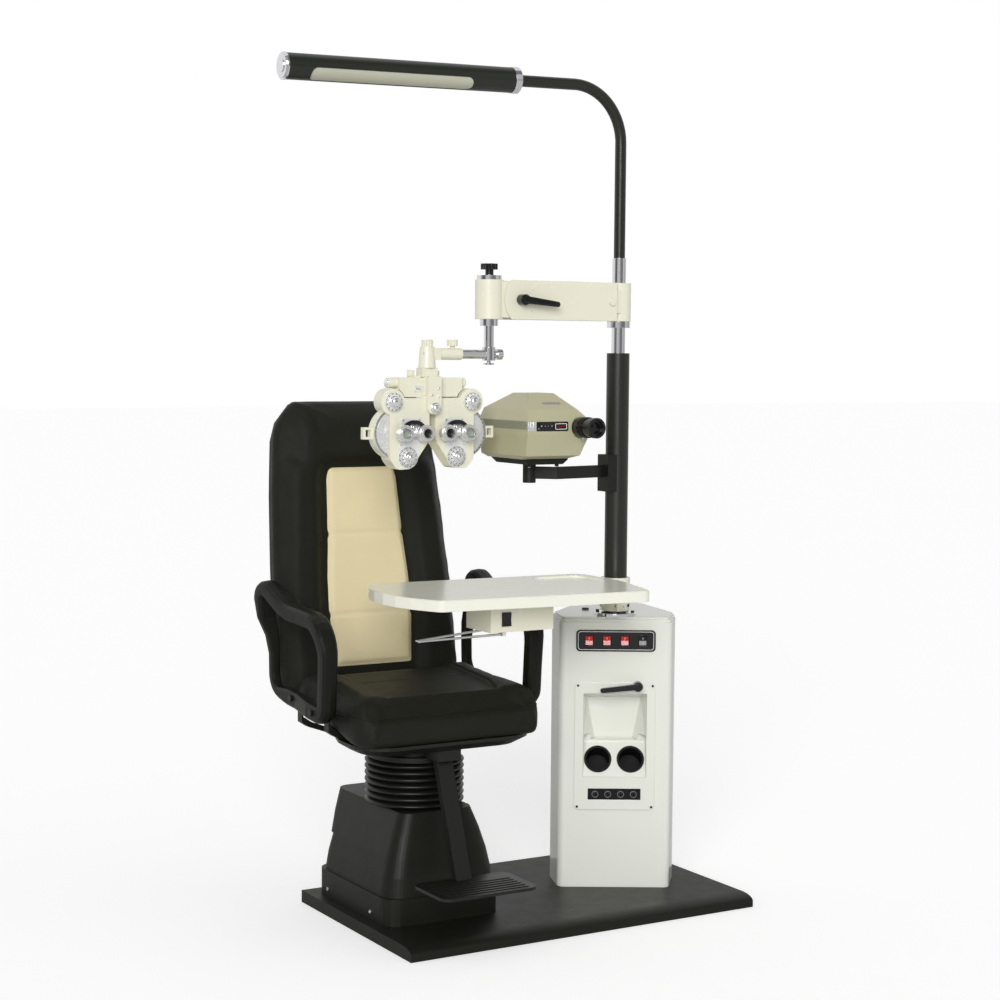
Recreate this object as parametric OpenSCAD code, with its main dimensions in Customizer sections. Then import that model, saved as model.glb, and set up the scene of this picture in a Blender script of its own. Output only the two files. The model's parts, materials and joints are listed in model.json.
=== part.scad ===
// Ophthalmic refraction unit: chair, instrument console, table, phoropter arm, projector and lamp.
// Millimetres, Z up. Origin on the floor under the centre of the base plate.
// The chair faces -Y; the console stands at +X, turned toward the user.

/* [Base] */
// Length of the steel base plate, side to side
plate_w = 960; // [940:10:1020]
// Depth of the base plate, front to back
plate_d = 580; // [570:10:640]
// Thickness of the base plate
plate_t = 30; // [24:1:40]

/* [Console] */
// Width of the console's front face
console_w = 278; // [270:2:290]
// Height of the console shell above the plate
console_h = 682; // [660:2:700]
// Angle by which the console is turned from the plate's front edge
console_turn = 30.5; // [26:0.5:34]

/* [Column] */
// Distance of the pole axis to the right of the plate centre
pole_x = 244; // [236:1:250]
// Distance of the pole axis in front of the plate centre
pole_front = 12; // [6:1:18]
// Outer diameter of the black pole
pole_d = 57; // [54:1:60]
// Outer diameter of the chromed pole that the arm turns on
chrome_d = 34; // [32:1:36]
// Height of the black pole above the console
pole_h = 656; // [640:2:680]

/* [Chair] */
// Distance of the chair's axis to the left of the plate centre
chair_x = 297; // [290:1:300]
// Distance of the chair's axis behind the plate centre
chair_back = 42; // [38:1:46]
// Height of the moulded cover over the lift
cover_h = 256; // [246:2:266]
// Outer diameter of the bellows
bellows_d = 240; // [230:2:244]
// Height of the bellows as shown
bellows_h = 112; // [106:1:120]
// Width of the seat cushion
seat_w = 496; // [480:4:504]
// Depth of the seat cushion
seat_d = 388; // [380:2:390]
// Thickness of the seat cushion at its front edge
seat_t = 84; // [76:2:92]
// Width of the backrest at its foot
back_w = 496; // [480:2:498]
// Height of the backrest
back_h = 740; // [712:4:760]
// Angle by which the backrest leans back
recline = 9.4; // [7:0.2:12]

/* [Table] */
// Length of the swing table
table_l = 646; // [620:1:660]
// Depth of the swing table
table_d = 372; // [350:2:384]
// Thickness of the table top
table_t = 26; // [22:1:28]

/* [Phoropter arm] */
// Height of the arm's middle above the top of the black pole
arm_rise = 126; // [120:1:134]
// Reach from the pole axis to the phoropter shaft
arm_reach = 373; // [365:1:380]
// Height of the arm's cover
arm_h = 94; // [90:1:98]
// Distance between the pupils at which the two heads are set
pupil_d = 60; // [58:0.5:66]

/* [Projector and lamp] */
// Length of the projector body, front to back
projector_l = 230; // [220:2:240]
// Width of the projector body
projector_w = 175; // [168:1:182]
// Length of the lamp tube
lamp_l = 590; // [560:5:640]
// Diameter of the lamp tube
lamp_d = 60; // [56:1:62]
// Radius of the bend in the lamp's rod
lamp_bend = 135; // [120:5:150]

/* [Hidden] */
$fn = 64;

// Fits shared by every moving joint
run = 0.05;
slack = 0.5;
eps = 0.01;

// Console, in its own frame: x along the face, y into the console, pole on the origin
shell_t = 5;
face_y = -56;
console_top = plate_t + console_h;
wide_half = console_w / 2 + 18;
wide_y = face_y + 108;
rear_half = 87;
rear_y = face_y + 308;
frame_tube = 80;
pocket_w = 202;
pocket_low = plate_t + 0.289 * console_h;
pocket_high = plate_t + 0.761 * console_h;
pocket_t = 3;
recess_w = 158;
recess_top = pocket_high - 28;
recess_low = pocket_low + 83;
chute_low = recess_low + 82;
ledge_in = 40;
well_r = 32;
well_deep = 70;
well_x = 41;
switch_w = 198;
switch_h = 54;
switch_z = console_top - 58;
rocker_pitch = 44.5;
rocker_w = 18;
rocker_h = 22;
lever_x = 55;
lever_z = pocket_high - 7;
lever_l = 88;

// Column
pole_r = pole_d / 2;
chrome_r = chrome_d / 2;
flange_r = 53;
flange_t = 8;
flange_top = console_top + flange_t;
pole_top = console_top + pole_h;
arm_z = pole_top + arm_rise;
chrome_top = arm_z + arm_h / 2 + 62;
lamp_r = 14;
collar_t = 16;

// Table, measured from the pole axis
sleeve_r = 36.5;
sleeve_low = flange_top + 4.5;
sleeve_top = sleeve_low + 83;
table_top_z = sleeve_top + 7;
table_low = table_top_z - table_t;
table_right = -66;
table_front = -333;
box_l = 170;
box_d = 114;
box_h = 67;
box_x = -399;
box_y = -153;
box_low = table_low - box_h;

// Chair, measured from its own axis
cover_top = plate_t + cover_h;
plinth_h = 65;
ram_top = cover_top + bellows_h;
ram_plate = 12;
seat_base = ram_top + ram_plate + 0.1;
pan_low = ram_top + 41;
pan_t = 24;
cushion_z = pan_low + pan_t;
seat_front = -214;
seat_back = seat_front + seat_d;
seat_half = seat_w / 2;
arm_in = seat_half + 9;
rail_z = pan_low + 86;
side_lift = 34;
lug_share = 0.0156;
foot_z = plate_t + 117;
foot_w = 250;
foot_d = 157;
foot_back = -224;

// Backrest, in its own leaning frame: x across, z up the back, front toward -Y
back_y = 258;
back_z = cushion_z + 42;
back_thick = 80;
shell_depth = 16;
back_half = back_w / 2;
insert_low = 74;
insert_high = 0.777 * back_h;

// Arm, measured from the pole axis
near_x = -42;
far_x = -arm_reach + 69;
cheek_in = 31;
cheek_t = 3;
head_r = 34;
shaft_r = 12;
rod_r = 11;
rod_z = arm_z - 131;
rod_end = -arm_reach - 157;
ph_x = -arm_reach - 168;
bracket_low = rod_z - 33;

// Phoropter, measured from its own swivel axis
ph_top = bracket_low - 21;
box_top = ph_top - 2;
box_bottom = box_top - 45;
head_top = box_bottom - 2;
sight_z = box_bottom - 84;
sight_x = pupil_d / 2;
turret_half = 27.25;
turret_x = sight_x + turret_half;
turret_z = sight_z + 2;
head_front = -28;
head_back = 18;
disc_r = 62;
disc_x = sight_x + 58;
sphere_x = sight_x + 75;
sphere_z = sight_z + 73;
axis_x = sight_x + 35;
axis_z = sight_z - 57;

// Projector, measured from its own post
post_x = -244;
post_y = 20;
post_low = console_top + 338;
post_top = post_low + 48;
proj_low = post_top + 14;
belt_low = proj_low + 62;
belt_high = belt_low + 32;
proj_mid = belt_high + 26;
proj_top = proj_low + 158;
proj_front = -0.587 * projector_l;
lens_x = 0.354 * projector_w;
lens_z = (belt_low + belt_high) / 2;
lens_r = 25;

// Lamp
lamp_z = chrome_top + 417;
lamp_in = -300;
lamp_droop = 1.1;

// Free stretch of the mains lead: points beside the pole, from the pole grommet to the console's top
cable_r = 2.6;
cable_start = [0, pole_r + 5, console_top + 200];
cable_rise = [
    [0, 6, 0], [-2, 22, -3], [-5, 44, -12], [-8, 64, -28], [-10, 78, -52], [-11, 86, -82],
    [-11, 88, -114], [-10, 88, -146], [-10, 88, -172], [-10, 88, -196]
];

// Points of an arc in a plane
function arc(c, r, a0, a1, n = 8) =
    [for (i = [0:n]) let (a = a0 + (a1 - a0) * i / n) [c[0] + r * cos(a), c[1] + r * sin(a)]];

// A corner of an outline, cut back and rounded to radius r
function corner(p, a, b, r, n) =
    let (u = (a - p) / norm(a - p), v = (b - p) / norm(b - p),
         half = acos(max(-1, min(1, u * v))) / 2,
         c = p + (u + v) / norm(u + v) * r / sin(half),
         s = p + u * r / tan(half) - c,
         e = p + v * r / tan(half) - c,
         a0 = atan2(s[1], s[0]),
         turn = (atan2(e[1], e[0]) - a0 + 540) % 360 - 180)
    [for (i = [0:n]) c + r * [cos(a0 + turn * i / n), sin(a0 + turn * i / n)]];

// An outline with every corner rounded by its own radius
function rounded(pts, radii, n = 6) =
    let (k = len(pts))
    [for (i = [0:k - 1]) each corner(pts[i], pts[(i + k - 1) % k], pts[(i + 1) % k], radii[i], n)];

function box_outline(x0, x1, y0, y1, r) =
    rounded([[x0, y0], [x1, y0], [x1, y1], [x0, y1]], [r, r, r, r]);

function mix(a, b, t) = a * (1 - t) + b * t;
function ease(t) = let (c = max(0, min(1, t))) c * c * (3 - 2 * c);

// A closed skin over rings of points that all have the same count
module loft(rings) {
    n = len(rings[0]);
    m = len(rings);
    polyhedron(
        points = [for (ring = rings) each ring],
        faces = concat(
            [[for (i = [0:n - 1]) i]],
            [for (j = [0:m - 2], i = [0:n - 1]) let (a = j * n + i, b = j * n + (i + 1) % n)
                each [[a, a + n, b + n], [a, b + n, b]]],
            [[for (i = [n - 1:-1:0]) (m - 1) * n + i]]));
}

// A closed skin over rings that return to the first one
module ring_loop(rings) {
    n = len(rings[0]);
    m = len(rings);
    polyhedron(
        points = [for (ring = rings) each ring],
        faces = [for (j = [0:m - 1], i = [0:n - 1])
            let (a = j * n + i, b = j * n + (i + 1) % n, c = ((j + 1) % m) * n + i, d = ((j + 1) % m) * n + (i + 1) % n)
            each [[a, c, d], [a, d, b]]]);
}

// A padded form: a grid of top heights over a plan, with sides that draw in above a flat base
module padded_form(xs, ys, plan_x, height, base_z, bulge, draw, lift = function (x, y) 0) {
    n = len(xs);
    m = len(ys);
    top = [for (y = ys, u = xs) let (x = plan_x(u, y)) [x, y, height(x, y)]];
    edge = concat(
        [for (i = [0:n - 1]) i],
        [for (j = [1:m - 1]) j * n + n - 1],
        [for (i = [n - 2:-1:0]) (m - 1) * n + i],
        [for (j = [m - 2:-1:1]) j * n]);
    k = len(edge);
    mid_y = (ys[0] + ys[m - 1]) / 2;
    half_y = (ys[m - 1] - ys[0]) / 2;
    half_x = max([for (e = edge) top[e][0]]);
    sides = [for (s = [[0.45, bulge], [0, -draw]], e = edge)
        let (p = top[e])
        [p[0] * (1 + s[1] / half_x), mid_y + (p[1] - mid_y) * (1 + s[1] / half_y), mix(base_z + lift(p[0], p[1]), p[2], s[0])]];
    t = n * m;
    polyhedron(
        points = concat(top, sides, [[0, mid_y, base_z]]),
        faces = concat(
            [for (j = [0:m - 2], i = [0:n - 2]) let (a = j * n + i)
                each [[a, a + n, a + n + 1], [a, a + n + 1, a + 1]]],
            [for (i = [0:k - 1]) let (q = (i + 1) % k)
                each [[t + i, edge[i], edge[q]], [t + i, edge[q], t + q]]],
            [for (i = [0:k - 1]) let (q = (i + 1) % k)
                each [[t + k + i, t + i, t + q], [t + k + i, t + q, t + k + q]]],
            [for (i = [0:k - 1]) [t + 2 * k, t + k + i, t + k + (i + 1) % k]]));
}

// A round tube swept along a route of points
module swept_tube(path, r, sides) {
    n = len(path);
    loft([for (i = [0:n - 1])
        let (d = path[min(n - 1, i + 1)] - path[max(0, i - 1)],
             t = d / norm(d),
             u = cross(t, [1, 0, 0]) / norm(cross(t, [1, 0, 0])),
             w = cross(u, t))
        [for (k = [0:sides - 1]) path[i] + r * (u * cos(360 * k / sides) + w * sin(360 * k / sides))]]);
}

// A straight round bar between two points
module bar(p, q, r) {
    d = q - p;
    translate(p)
        rotate([0, acos(d[2] / norm(d)), atan2(d[1], d[0])])
            cylinder(r = r, h = norm(d));
}

// A cylinder along Y, from y0 to y1
module along_y(r, y0, y1) {
    translate([0, y1, 0])
        rotate([90, 0, 0])
            cylinder(r = r, h = y1 - y0);
}

// A cylinder along X, from x0 to x1
module along_x(r, x0, x1) {
    translate([x0, 0, 0])
        rotate([0, 90, 0])
            cylinder(r = r, h = x1 - x0);
}

// An outline in x and z, thick along y
module upright(pts, y0, y1) {
    translate([0, y1, 0])
        rotate([90, 0, 0])
            linear_extrude(y1 - y0)
                polygon(pts);
}

// Frames of reference
module at_pole() {
    translate([pole_x, -pole_front, 0])
        children();
}

module at_console() {
    at_pole()
        rotate([0, 0, -console_turn])
            children();
}

module at_chair() {
    translate([-chair_x, chair_back, 0])
        children();
}

module at_back() {
    at_chair()
        translate([0, back_y, back_z])
            rotate([-recline, 0, 0])
                children();
}

module at_phoropter() {
    at_pole()
        translate([ph_x, 0, 0])
            children();
}

// Frame of the lamp's level part
module at_lamp() {
    at_pole()
        translate([-lamp_bend, 0, lamp_z - lamp_bend])
            rotate([0, -lamp_droop, 0])
                translate([lamp_bend, 0, lamp_bend])
                    children();
}

module at_projector() {
    at_pole()
        translate([post_x, post_y, 0])
            children();
}

// Base plate: flat steel with a rounded bevel along its front edge
module base_plate() {
    bevel = 1.5 * plate_t;
    lip = 0.5 * plate_t;
    profile = concat(
        [[-plate_d / 2, 0], [plate_d / 2, 0], [plate_d / 2, plate_t]],
        [for (i = [0:8]) let (a = 90 * i / 8)
            [bevel - plate_d / 2 - bevel * sin(a), lip + (plate_t - lip) * cos(a)]]);
    color([0.13, 0.13, 0.12])
        translate([-plate_w / 2, 0, 0])
            rotate([90, 0, 90])
                linear_extrude(plate_w)
                    polygon(profile);
}

// Lift: fixed cylinder, pump and the ram that carries the seat
cylinder_r = 62;
ram_r = 45;
module lift_cylinder() {
    color([0.35, 0.35, 0.36])
        at_chair()
            difference() {
                union() {
                    translate([0, 0, plate_t])
                        cylinder(r = cylinder_r, h = cover_h - 16);
                    translate([0, 0, plate_t])
                        cylinder(r = cylinder_r + 34, h = 12);
                }
                translate([0, 0, plate_t + 30])
                    cylinder(r = ram_r + run, h = cover_h);
            }
}

module lift_pump() {
    color([0.2, 0.2, 0.22])
        at_chair()
            translate([0, 0, plate_t]) {
                translate([-55, 104, 0])
                    cube([110, 64, 70]);
                translate([-40, 135, 95])
                    along_x(24, 0, 80);
                translate([-30, 120, 70 - eps])
                    cube([60, 34, 12]);
            }
}

// Plan of the cover at a share s of its body height, as half width, front and rear.
// Above the crease the rear stands further out.
crease = 0.47;
function cover_plan(s, inset, low) =
    let (x = mix(148, 96, pow(s, 1.6)), f = mix(-160, -128, pow(s, 1.6)),
         b = low ? mix(224, 206, s / crease) : mix(217, 236, (s - crease) / (1 - crease)),
         r = mix(52, 34, s) - inset)
    rounded([[-x + inset, f + inset], [x - inset, f + inset], [x - inset, b - inset], [-x + inset, b - inset]],
        [r, r, r, r], 10);

module cover_body(inset, extra) {
    body_h = cover_h - plinth_h;
    for (low = [true, false])
        hull()
            for (s = low ? [0, 0.24, crease] : [crease, 0.74, 1])
                translate([0, 0, plate_t + plinth_h + s * body_h - inset * (s == 1 ? 1 : 0) - (s == 0 ? extra : 0)])
                    linear_extrude(0.1)
                        polygon(cover_plan(s, inset, low));
}

module base_cover() {
    wall = 4;
    plinth = box_outline(-154, 154, -164, 228, 44);
    hollow = box_outline(-154 + wall, 154 - wall, -164 + wall, 228 - wall, 40);
    color([0.09, 0.09, 0.09])
        at_chair()
            difference() {
                union() {
                    translate([0, 0, plate_t])
                        linear_extrude(plinth_h)
                            polygon(plinth);
                    cover_body(0, 0);
                }
                translate([0, 0, plate_t - 1])
                    linear_extrude(plinth_h - wall + 1)
                        polygon(hollow);
                cover_body(wall, wall + 2);
                translate([0, 0, cover_top - 20])
                    cylinder(r = cylinder_r + 20, h = 40);
            }
}

// Bellows: a turned skin with round ribs
ribs = 7;
module bellows() {
    r_out = bellows_d / 2;
    r_in = r_out - 13;
    pitch = (bellows_h - 1) / ribs;
    outer = [for (k = [0:ribs - 1]) each
        [for (i = [0:5]) let (a = -75 + 30 * i)
            [r_out - 6.5 + 6.5 * cos(a), cover_top + 0.5 + pitch * (k + 0.5) + 0.42 * pitch * sin(a)]]];
    color([0.07, 0.07, 0.07])
        at_chair()
            rotate_extrude($fn = 72)
                polygon(concat(
                    [[r_in - 4, cover_top + 0.5], [r_in, cover_top + 0.5]],
                    outer,
                    [[r_in, ram_top - 0.5], [r_in - 4, ram_top - 0.5]]));
}

module lift_ram() {
    color([0.75, 0.76, 0.78])
        at_chair()
            difference() {
                union() {
                    translate([0, 0, plate_t + 95])
                        cylinder(r = ram_r, h = ram_top - plate_t - 95);
                    translate([0, 0, ram_top])
                        cylinder(r = bellows_d / 2 - 8, h = ram_plate);
                }
                translate([0, 0, ram_top - 60])
                    cylinder(r = 20 + run, h = 120);
            }
}

// Seat frame: turntable, spindle, pan, side lugs, back bracket and the footrest's bracket
module seat_frame() {
    pan = rounded([[-150, seat_back - 4], [150, seat_back - 4], [seat_half - 20, -50], [seat_half - 14, seat_front + 12],
        [14 - seat_half, seat_front + 12], [20 - seat_half, -50]], [30, 30, 120, 80, 80, 120]);
    bracket_w = 120;
    bracket_t = 10;
    color([0.06, 0.06, 0.06])
        at_chair() {
            translate([0, 0, ram_top - 50])
                cylinder(r = 20, h = 64);
            translate([0, 0, seat_base])
                cylinder(r = 95, h = 10);
            translate([-75, -75, seat_base + 9])
                cube([150, 150, pan_low - seat_base - 8]);
            hull() {
                translate([0, 0, pan_low])
                    linear_extrude(0.1)
                        polygon([for (p = pan) [0.88 * p[0], 0.88 * (p[1] + 20) - 20]]);
                translate([0, 0, cushion_z - 8])
                    linear_extrude(8)
                        polygon(pan);
            }
            // straps that carry the armrests
            for (side = [-1, 1], y = arm_bolt_y)
                upright([for (p = [[0.48, 5], [0.69, 10], [0.93, 32], [1, 44], [1, 108], [1 - lug_share, 108],
                    [1 - lug_share, 58], [0.89, 42], [0.66, 20], [0.48, 15]]) [side * p[0] * arm_in, pan_low + p[1]]], y - 12, y + 12);
            // bracket that rises behind the backrest
            translate([-bracket_w / 2, seat_back - 60, pan_low + 2])
                cube([bracket_w, back_y + 12 - seat_back + 60, bracket_t]);
            translate([0, back_y, back_z])
                rotate([-recline, 0, 0])
                    translate([10 - bracket_w / 2, shell_depth, pan_low - back_z + 6])
                        cube([bracket_w - 20, bracket_t, 310]);
            // socket of the footrest's strut
            translate([-30, -176, pan_low - 26])
                cube([60, 66, 27]);
        }
}

// Seat cushion: crowned, with raised sides, a sunk middle and a rolled front
function seat_plan(y) =
    let (t = (y - seat_front) / seat_d, r = 0.16)
    seat_half * (1 - 0.015 * pow(2 * t - 1, 2) - 0.11 * pow(max(0, 1 - t / r), 2)
        - 0.04 * pow(max(0, (t - 1 + r) / r), 2));
function seat_height(x, y) =
    let (u = abs(x) / seat_half, t = (y - seat_front) / seat_d,
         side = ease((1 - u) / 0.08), front = ease(t / 0.14), back = ease((1 - t) / 0.05),
         middle = mix(16 + 34 * t, 20 + 38 * t - 14 * t * t, ease((u - 0.6) / 0.2)),
         sunk = 9 * ease((0.66 - u) / 0.07) * ease((t - 0.16) / 0.06) * ease((0.97 - t) / 0.05),
         seam = 5 * max(0, 1 - abs(u - 0.66) / 0.035) * ease((t - 0.10) / 0.05))
    cushion_z + seat_t - 24 + (24 + middle) * min(side, front, back) - sunk - seam;
// How far the underside rises toward the sides
function seat_lift(x, y) =
    side_lift * ease((abs(x) / seat_half - 0.6) / 0.38) * ease(((y - seat_front) / seat_d - 0.1) / 0.45);
module seat_cushion() {
    us = [-1, -0.96, -0.9, -0.8, -0.71, -0.66, -0.6, -0.4, -0.15, 0.15, 0.4, 0.6, 0.66, 0.71, 0.8, 0.9, 0.96, 1];
    ts = [0, 0.025, 0.07, 0.12, 0.17, 0.22, 0.3, 0.42, 0.55, 0.68, 0.8, 0.9, 0.95, 0.98, 1];
    color([0.07, 0.07, 0.065])
        at_chair()
            padded_form(us, [for (t = ts) seat_front + t * seat_d],
                function (u, y) u * seat_plan(y), function (x, y) seat_height(x, y), cushion_z, 1.5, 10,
                function (x, y) seat_lift(x, y));
}

// Backrest outline: half width at each height of the leaning frame
function back_plan(z) =
    let (t = z / back_h, r = 0.11)
    back_half * lookup(t, [[0, 0.94], [0.06, 0.99], [0.2, 1], [0.45, 0.98], [0.7, 0.94], [0.88, 0.89], [1, 0.83]])
        * (1 - 0.2 * pow(max(0, (t - 1 + r) / r), 2));
function insert_plan(z) =
    let (t = (z - insert_low) / (insert_high - insert_low))
    0.5 * back_w * lookup(t, [[0, 0.431], [0.28, 0.476], [0.45, 0.466], [0.62, 0.436], [0.94, 0.403], [0.975, 0.385], [1, 0.34]]);
function back_depth(x, z) =
    let (h = back_plan(z), g = insert_plan(z) + 5, t = z / back_h, a = abs(x),
         in_row = ease((insert_high + 26 - z) / 20),
         bolster = 24 * ease((a - g) / (0.3 * (h - g))) * ease((h - a) / (0.3 * (h - g))),
         crown = 26 * ease((a < g ? 1 : (h - a) / (h - g)) / 0.5),
         edge = ease((h - a) / 22),
         ends = min(ease(t / 0.05), ease((1 - t) / 0.07)))
    back_thick - 26 + mix(crown, bolster, in_row) * min(edge, ends);
module back_cushion() {
    vs = [-1, -0.9, -0.72, -0.5, -0.28, -0.1, 0, 0.12, 0.5, 0.88, 1, 1.1, 1.28, 1.5, 1.72, 1.9, 2];
    ts = [0, 0.02, 0.05, 0.1, 0.2, 0.32, 0.45, 0.58, 0.7, 0.78, 0.8, 0.83, 0.88, 0.93, 0.965, 0.985, 1];
    // columns from -1 to 0 and from 1 to 2 are bolsters, and from 0 to 1 the flat middle
    color([0.07, 0.07, 0.07])
        at_back()
            rotate([90, 0, 0])
                padded_form(vs, [for (t = ts) t * back_h],
                    function (v, z) let (h = back_plan(z), g = insert_plan(z) + 5)
                        v < 0 ? mix(-g, -h, -v) : v > 1 ? mix(g, h, v - 1) : mix(-g, g, v),
                    function (x, z) back_depth(x, z), 0, 4, 12);
}

// Cream insert of three stitched pads on the flat middle of the backrest
function insert_depth(x, z, low, high) =
    let (g = insert_plan(z), e = min(g - abs(x), z - low, high - z))
    back_thick - 26 + 3 + 9 * ease(e / 26);
module back_insert() {
    seams = [0, 0.26, 0.66, 1];
    us = [-1, -0.94, -0.8, -0.4, 0.4, 0.8, 0.94, 1];
    ts = [0, 0.04, 0.12, 0.35, 0.65, 0.88, 0.96, 1];
    color([0.82, 0.76, 0.58])
        at_back()
            rotate([90, 0, 0])
                for (k = [0:2]) {
                    low = mix(insert_low, insert_high, seams[k]);
                    high = mix(insert_low, insert_high, seams[k + 1]);
                    padded_form(us, [for (t = ts) mix(low, high, t)],
                        function (u, z) u * insert_plan(z),
                        function (x, z) insert_depth(x, z, low, high), back_thick - 26 + 0.3, 0, 1);
                }
}

// Moulded shell that closes the backrest behind
module back_shell() {
    zs = [for (i = [0:16]) back_h * i / 16];
    outline = concat([for (z = zs) [back_plan(z) - 10, z]],
        [for (i = [16:-1:0]) [10 - back_plan(zs[i]), zs[i]]]);
    color([0.05, 0.05, 0.05])
        at_back()
            difference() {
                upright(outline, 0.3, shell_depth);
                for (side = [-1, 1])
                    upright([for (p = box_outline(70, back_half - 66, 70, 0.84 * back_h, 40)) [side * p[0], p[1]]],
                        shell_depth - 5, shell_depth + 1);
            }
}

// Armrest: a closed moulded loop, broad on top, with a rounded section that changes round the loop
arm_bolt_y = [-46, 100];
arm_corners = rounded(
    [[-86, rail_z], [-100, pan_low + 300], [100, pan_low + 312], [228, pan_low + 372], [219, pan_low + 108]],
    [26, 76, 150, 27, 46], 8);
arm_path = [for (i = [0:len(arm_corners) - 1])
    let (a = arm_corners[i], b = arm_corners[(i + 1) % len(arm_corners)], n = max(1, floor(norm(b - a) / 40)))
        for (k = [0:n - 1]) mix(a, b, k / n)];
function arm_width(y, z) = mix(mix(13, 21, ease((60 - y) / 50)), 25, ease((z - pan_low - 200) / 100));
function arm_depth(y, z) = mix(20.5, 12, ease((y - 140) / 60) * ease((pan_low + 340 - z) / 50));
function arm_flare(y, z) = 12 * ease((z - pan_low - 220) / 100) * ease((y + 40) / 300);
module armrest(side) {
    n = len(arm_path);
    sides = 12;
    middle = [100, pan_low + 190];
    rings = [for (i = [0:n - 1])
        let (p = arm_path[i],
             d = arm_path[(i + 1) % n] - arm_path[(i + n - 1) % n],
             m = [d[1], -d[0]] / norm(d),
             w = arm_width(p[0], p[1]),
             t = arm_depth(p[0], p[1]),
             x = arm_in + w - 1.5 + arm_flare(p[0], p[1]))
        [for (k = [0:sides - 1])
            let (a = 360 * k / sides, c = cos(a), s = sin(a),
                 cc = sign(c) * pow(abs(c), 0.7), ss = sign(s) * pow(abs(s), 0.7))
            [side * (x + max(1.5 - w, min(w - 1.5, w * cc))), p[0] + m[0] * t * ss, p[1] + m[1] * t * ss]]];
    color([0.06, 0.06, 0.06])
        at_chair()
            ring_loop(side > 0 ? rings : [for (i = [n - 1:-1:0]) rings[i]]);
}
module left_armrest() {
    armrest(-1);
}
module right_armrest() {
    armrest(1);
}

module arm_bolts() {
    color([0.3, 0.3, 0.3])
        at_chair()
            for (side = [-1, 1], y = arm_bolt_y)
                translate([side * (arm_in + 2 * arm_width(y, rail_z) - 2.7), y, rail_z + 3 + 0.075 * (y + 86)])
                    rotate([0, side * 90, 0])
                        cylinder(r = 8, h = 5);
}

// Footrest: a rectangular tube that slants forward to a rounded, ribbed plate
module footrest() {
    strut_w = 40;
    strut_t = 22;
    top_y = -140;
    low_y = -238;
    plate = box_outline(-foot_w / 2, foot_w / 2, foot_back - foot_d, foot_back, 24);
    color([0.08, 0.08, 0.08])
        at_chair() {
            hull() {
                translate([-strut_w / 2, top_y - strut_t / 2, pan_low - 26.1])
                    cube([strut_w, strut_t, 0.1]);
                translate([-strut_w / 2, low_y - strut_t / 2, foot_z])
                    cube([strut_w, strut_t, 0.1]);
            }
            translate([0, 0, foot_z - 7])
                linear_extrude(7 + eps)
                    polygon(plate);
            for (i = [0:5])
                translate([-foot_w / 2 + 22, foot_back - foot_d + 14 + 17 * i, foot_z - 1])
                    cube([foot_w - 44, 5, 2.5]);
        }
}

// Console plan: flat face, sides that flare and then draw in to the rear
function console_plan(inset) =
    let (f = console_w / 2 - inset, w = wide_half - inset, r = rear_half - inset)
    rounded(
        [[-f, face_y + inset], [f, face_y + inset], [w, wide_y], [r, rear_y - inset], [-r, rear_y - inset], [-w, wide_y]],
        [16 - inset, 16 - inset, 30, 24 - inset, 24 - inset, 30], 5);

module console_frame() {
    rear = 70;
    color([0.3, 0.3, 0.31])
        at_console() {
            difference() {
                translate([-frame_tube / 2, rear, plate_t])
                    cube([frame_tube, frame_tube, console_h - shell_t - 12]);
                translate([4 - frame_tube / 2, rear + 4, plate_t - 1])
                    cube([frame_tube - 8, frame_tube - 8, console_h]);
            }
            translate([-80, rear - 15, plate_t])
                cube([160, frame_tube + 30, 10]);
            difference() {
                translate([-60, face_y + 14, console_top - shell_t - 12])
                    cube([120, rear + frame_tube - face_y - 14, 12]);
                translate([0, 0, console_top - 40])
                    cylinder(r = pole_r, h = 80);
            }
        }
}

module console_shell() {
    color([0.93, 0.93, 0.9])
        at_console()
            difference() {
                union() {
                    translate([0, 0, plate_t])
                        linear_extrude(console_h - 12)
                            polygon(console_plan(0));
                    translate([0, 0, console_top - 12 - eps])
                        linear_extrude(7)
                            polygon(console_plan(2.5));
                    translate([0, 0, console_top - 5 - eps])
                        linear_extrude(5 + eps)
                            polygon(console_plan(7));
                }
                translate([0, 0, plate_t - 1])
                    linear_extrude(console_h - shell_t + 1)
                        polygon(console_plan(shell_t + 3));
                translate([0, 0, console_top - 20])
                    cylinder(r = pole_r, h = 40);
                translate([-recess_w / 2 - 4, face_y - 20, pocket_low + 12])
                    cube([recess_w + 8, 40, pocket_high - pocket_low - 34]);
                translate([-switch_w / 2 + 8, face_y - 20, switch_z - switch_h / 2 + 6])
                    cube([switch_w - 16, 40, switch_h - 12]);
                translate([lever_x, 0, lever_z])
                    along_y(4, face_y - 20, face_y + 20);
                // outlet of the lead in the top
                translate([cable_foot()[0], cable_foot()[1], console_top - 20])
                    cylinder(r = 6, h = 40);
            }
}

// Foot of the lead in the console's frame
function cable_foot() =
    let (p = cable_start + cable_rise[len(cable_rise) - 1])
    [p[0] * cos(console_turn) - p[1] * sin(console_turn), p[0] * sin(console_turn) + p[1] * cos(console_turn)];

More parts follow.
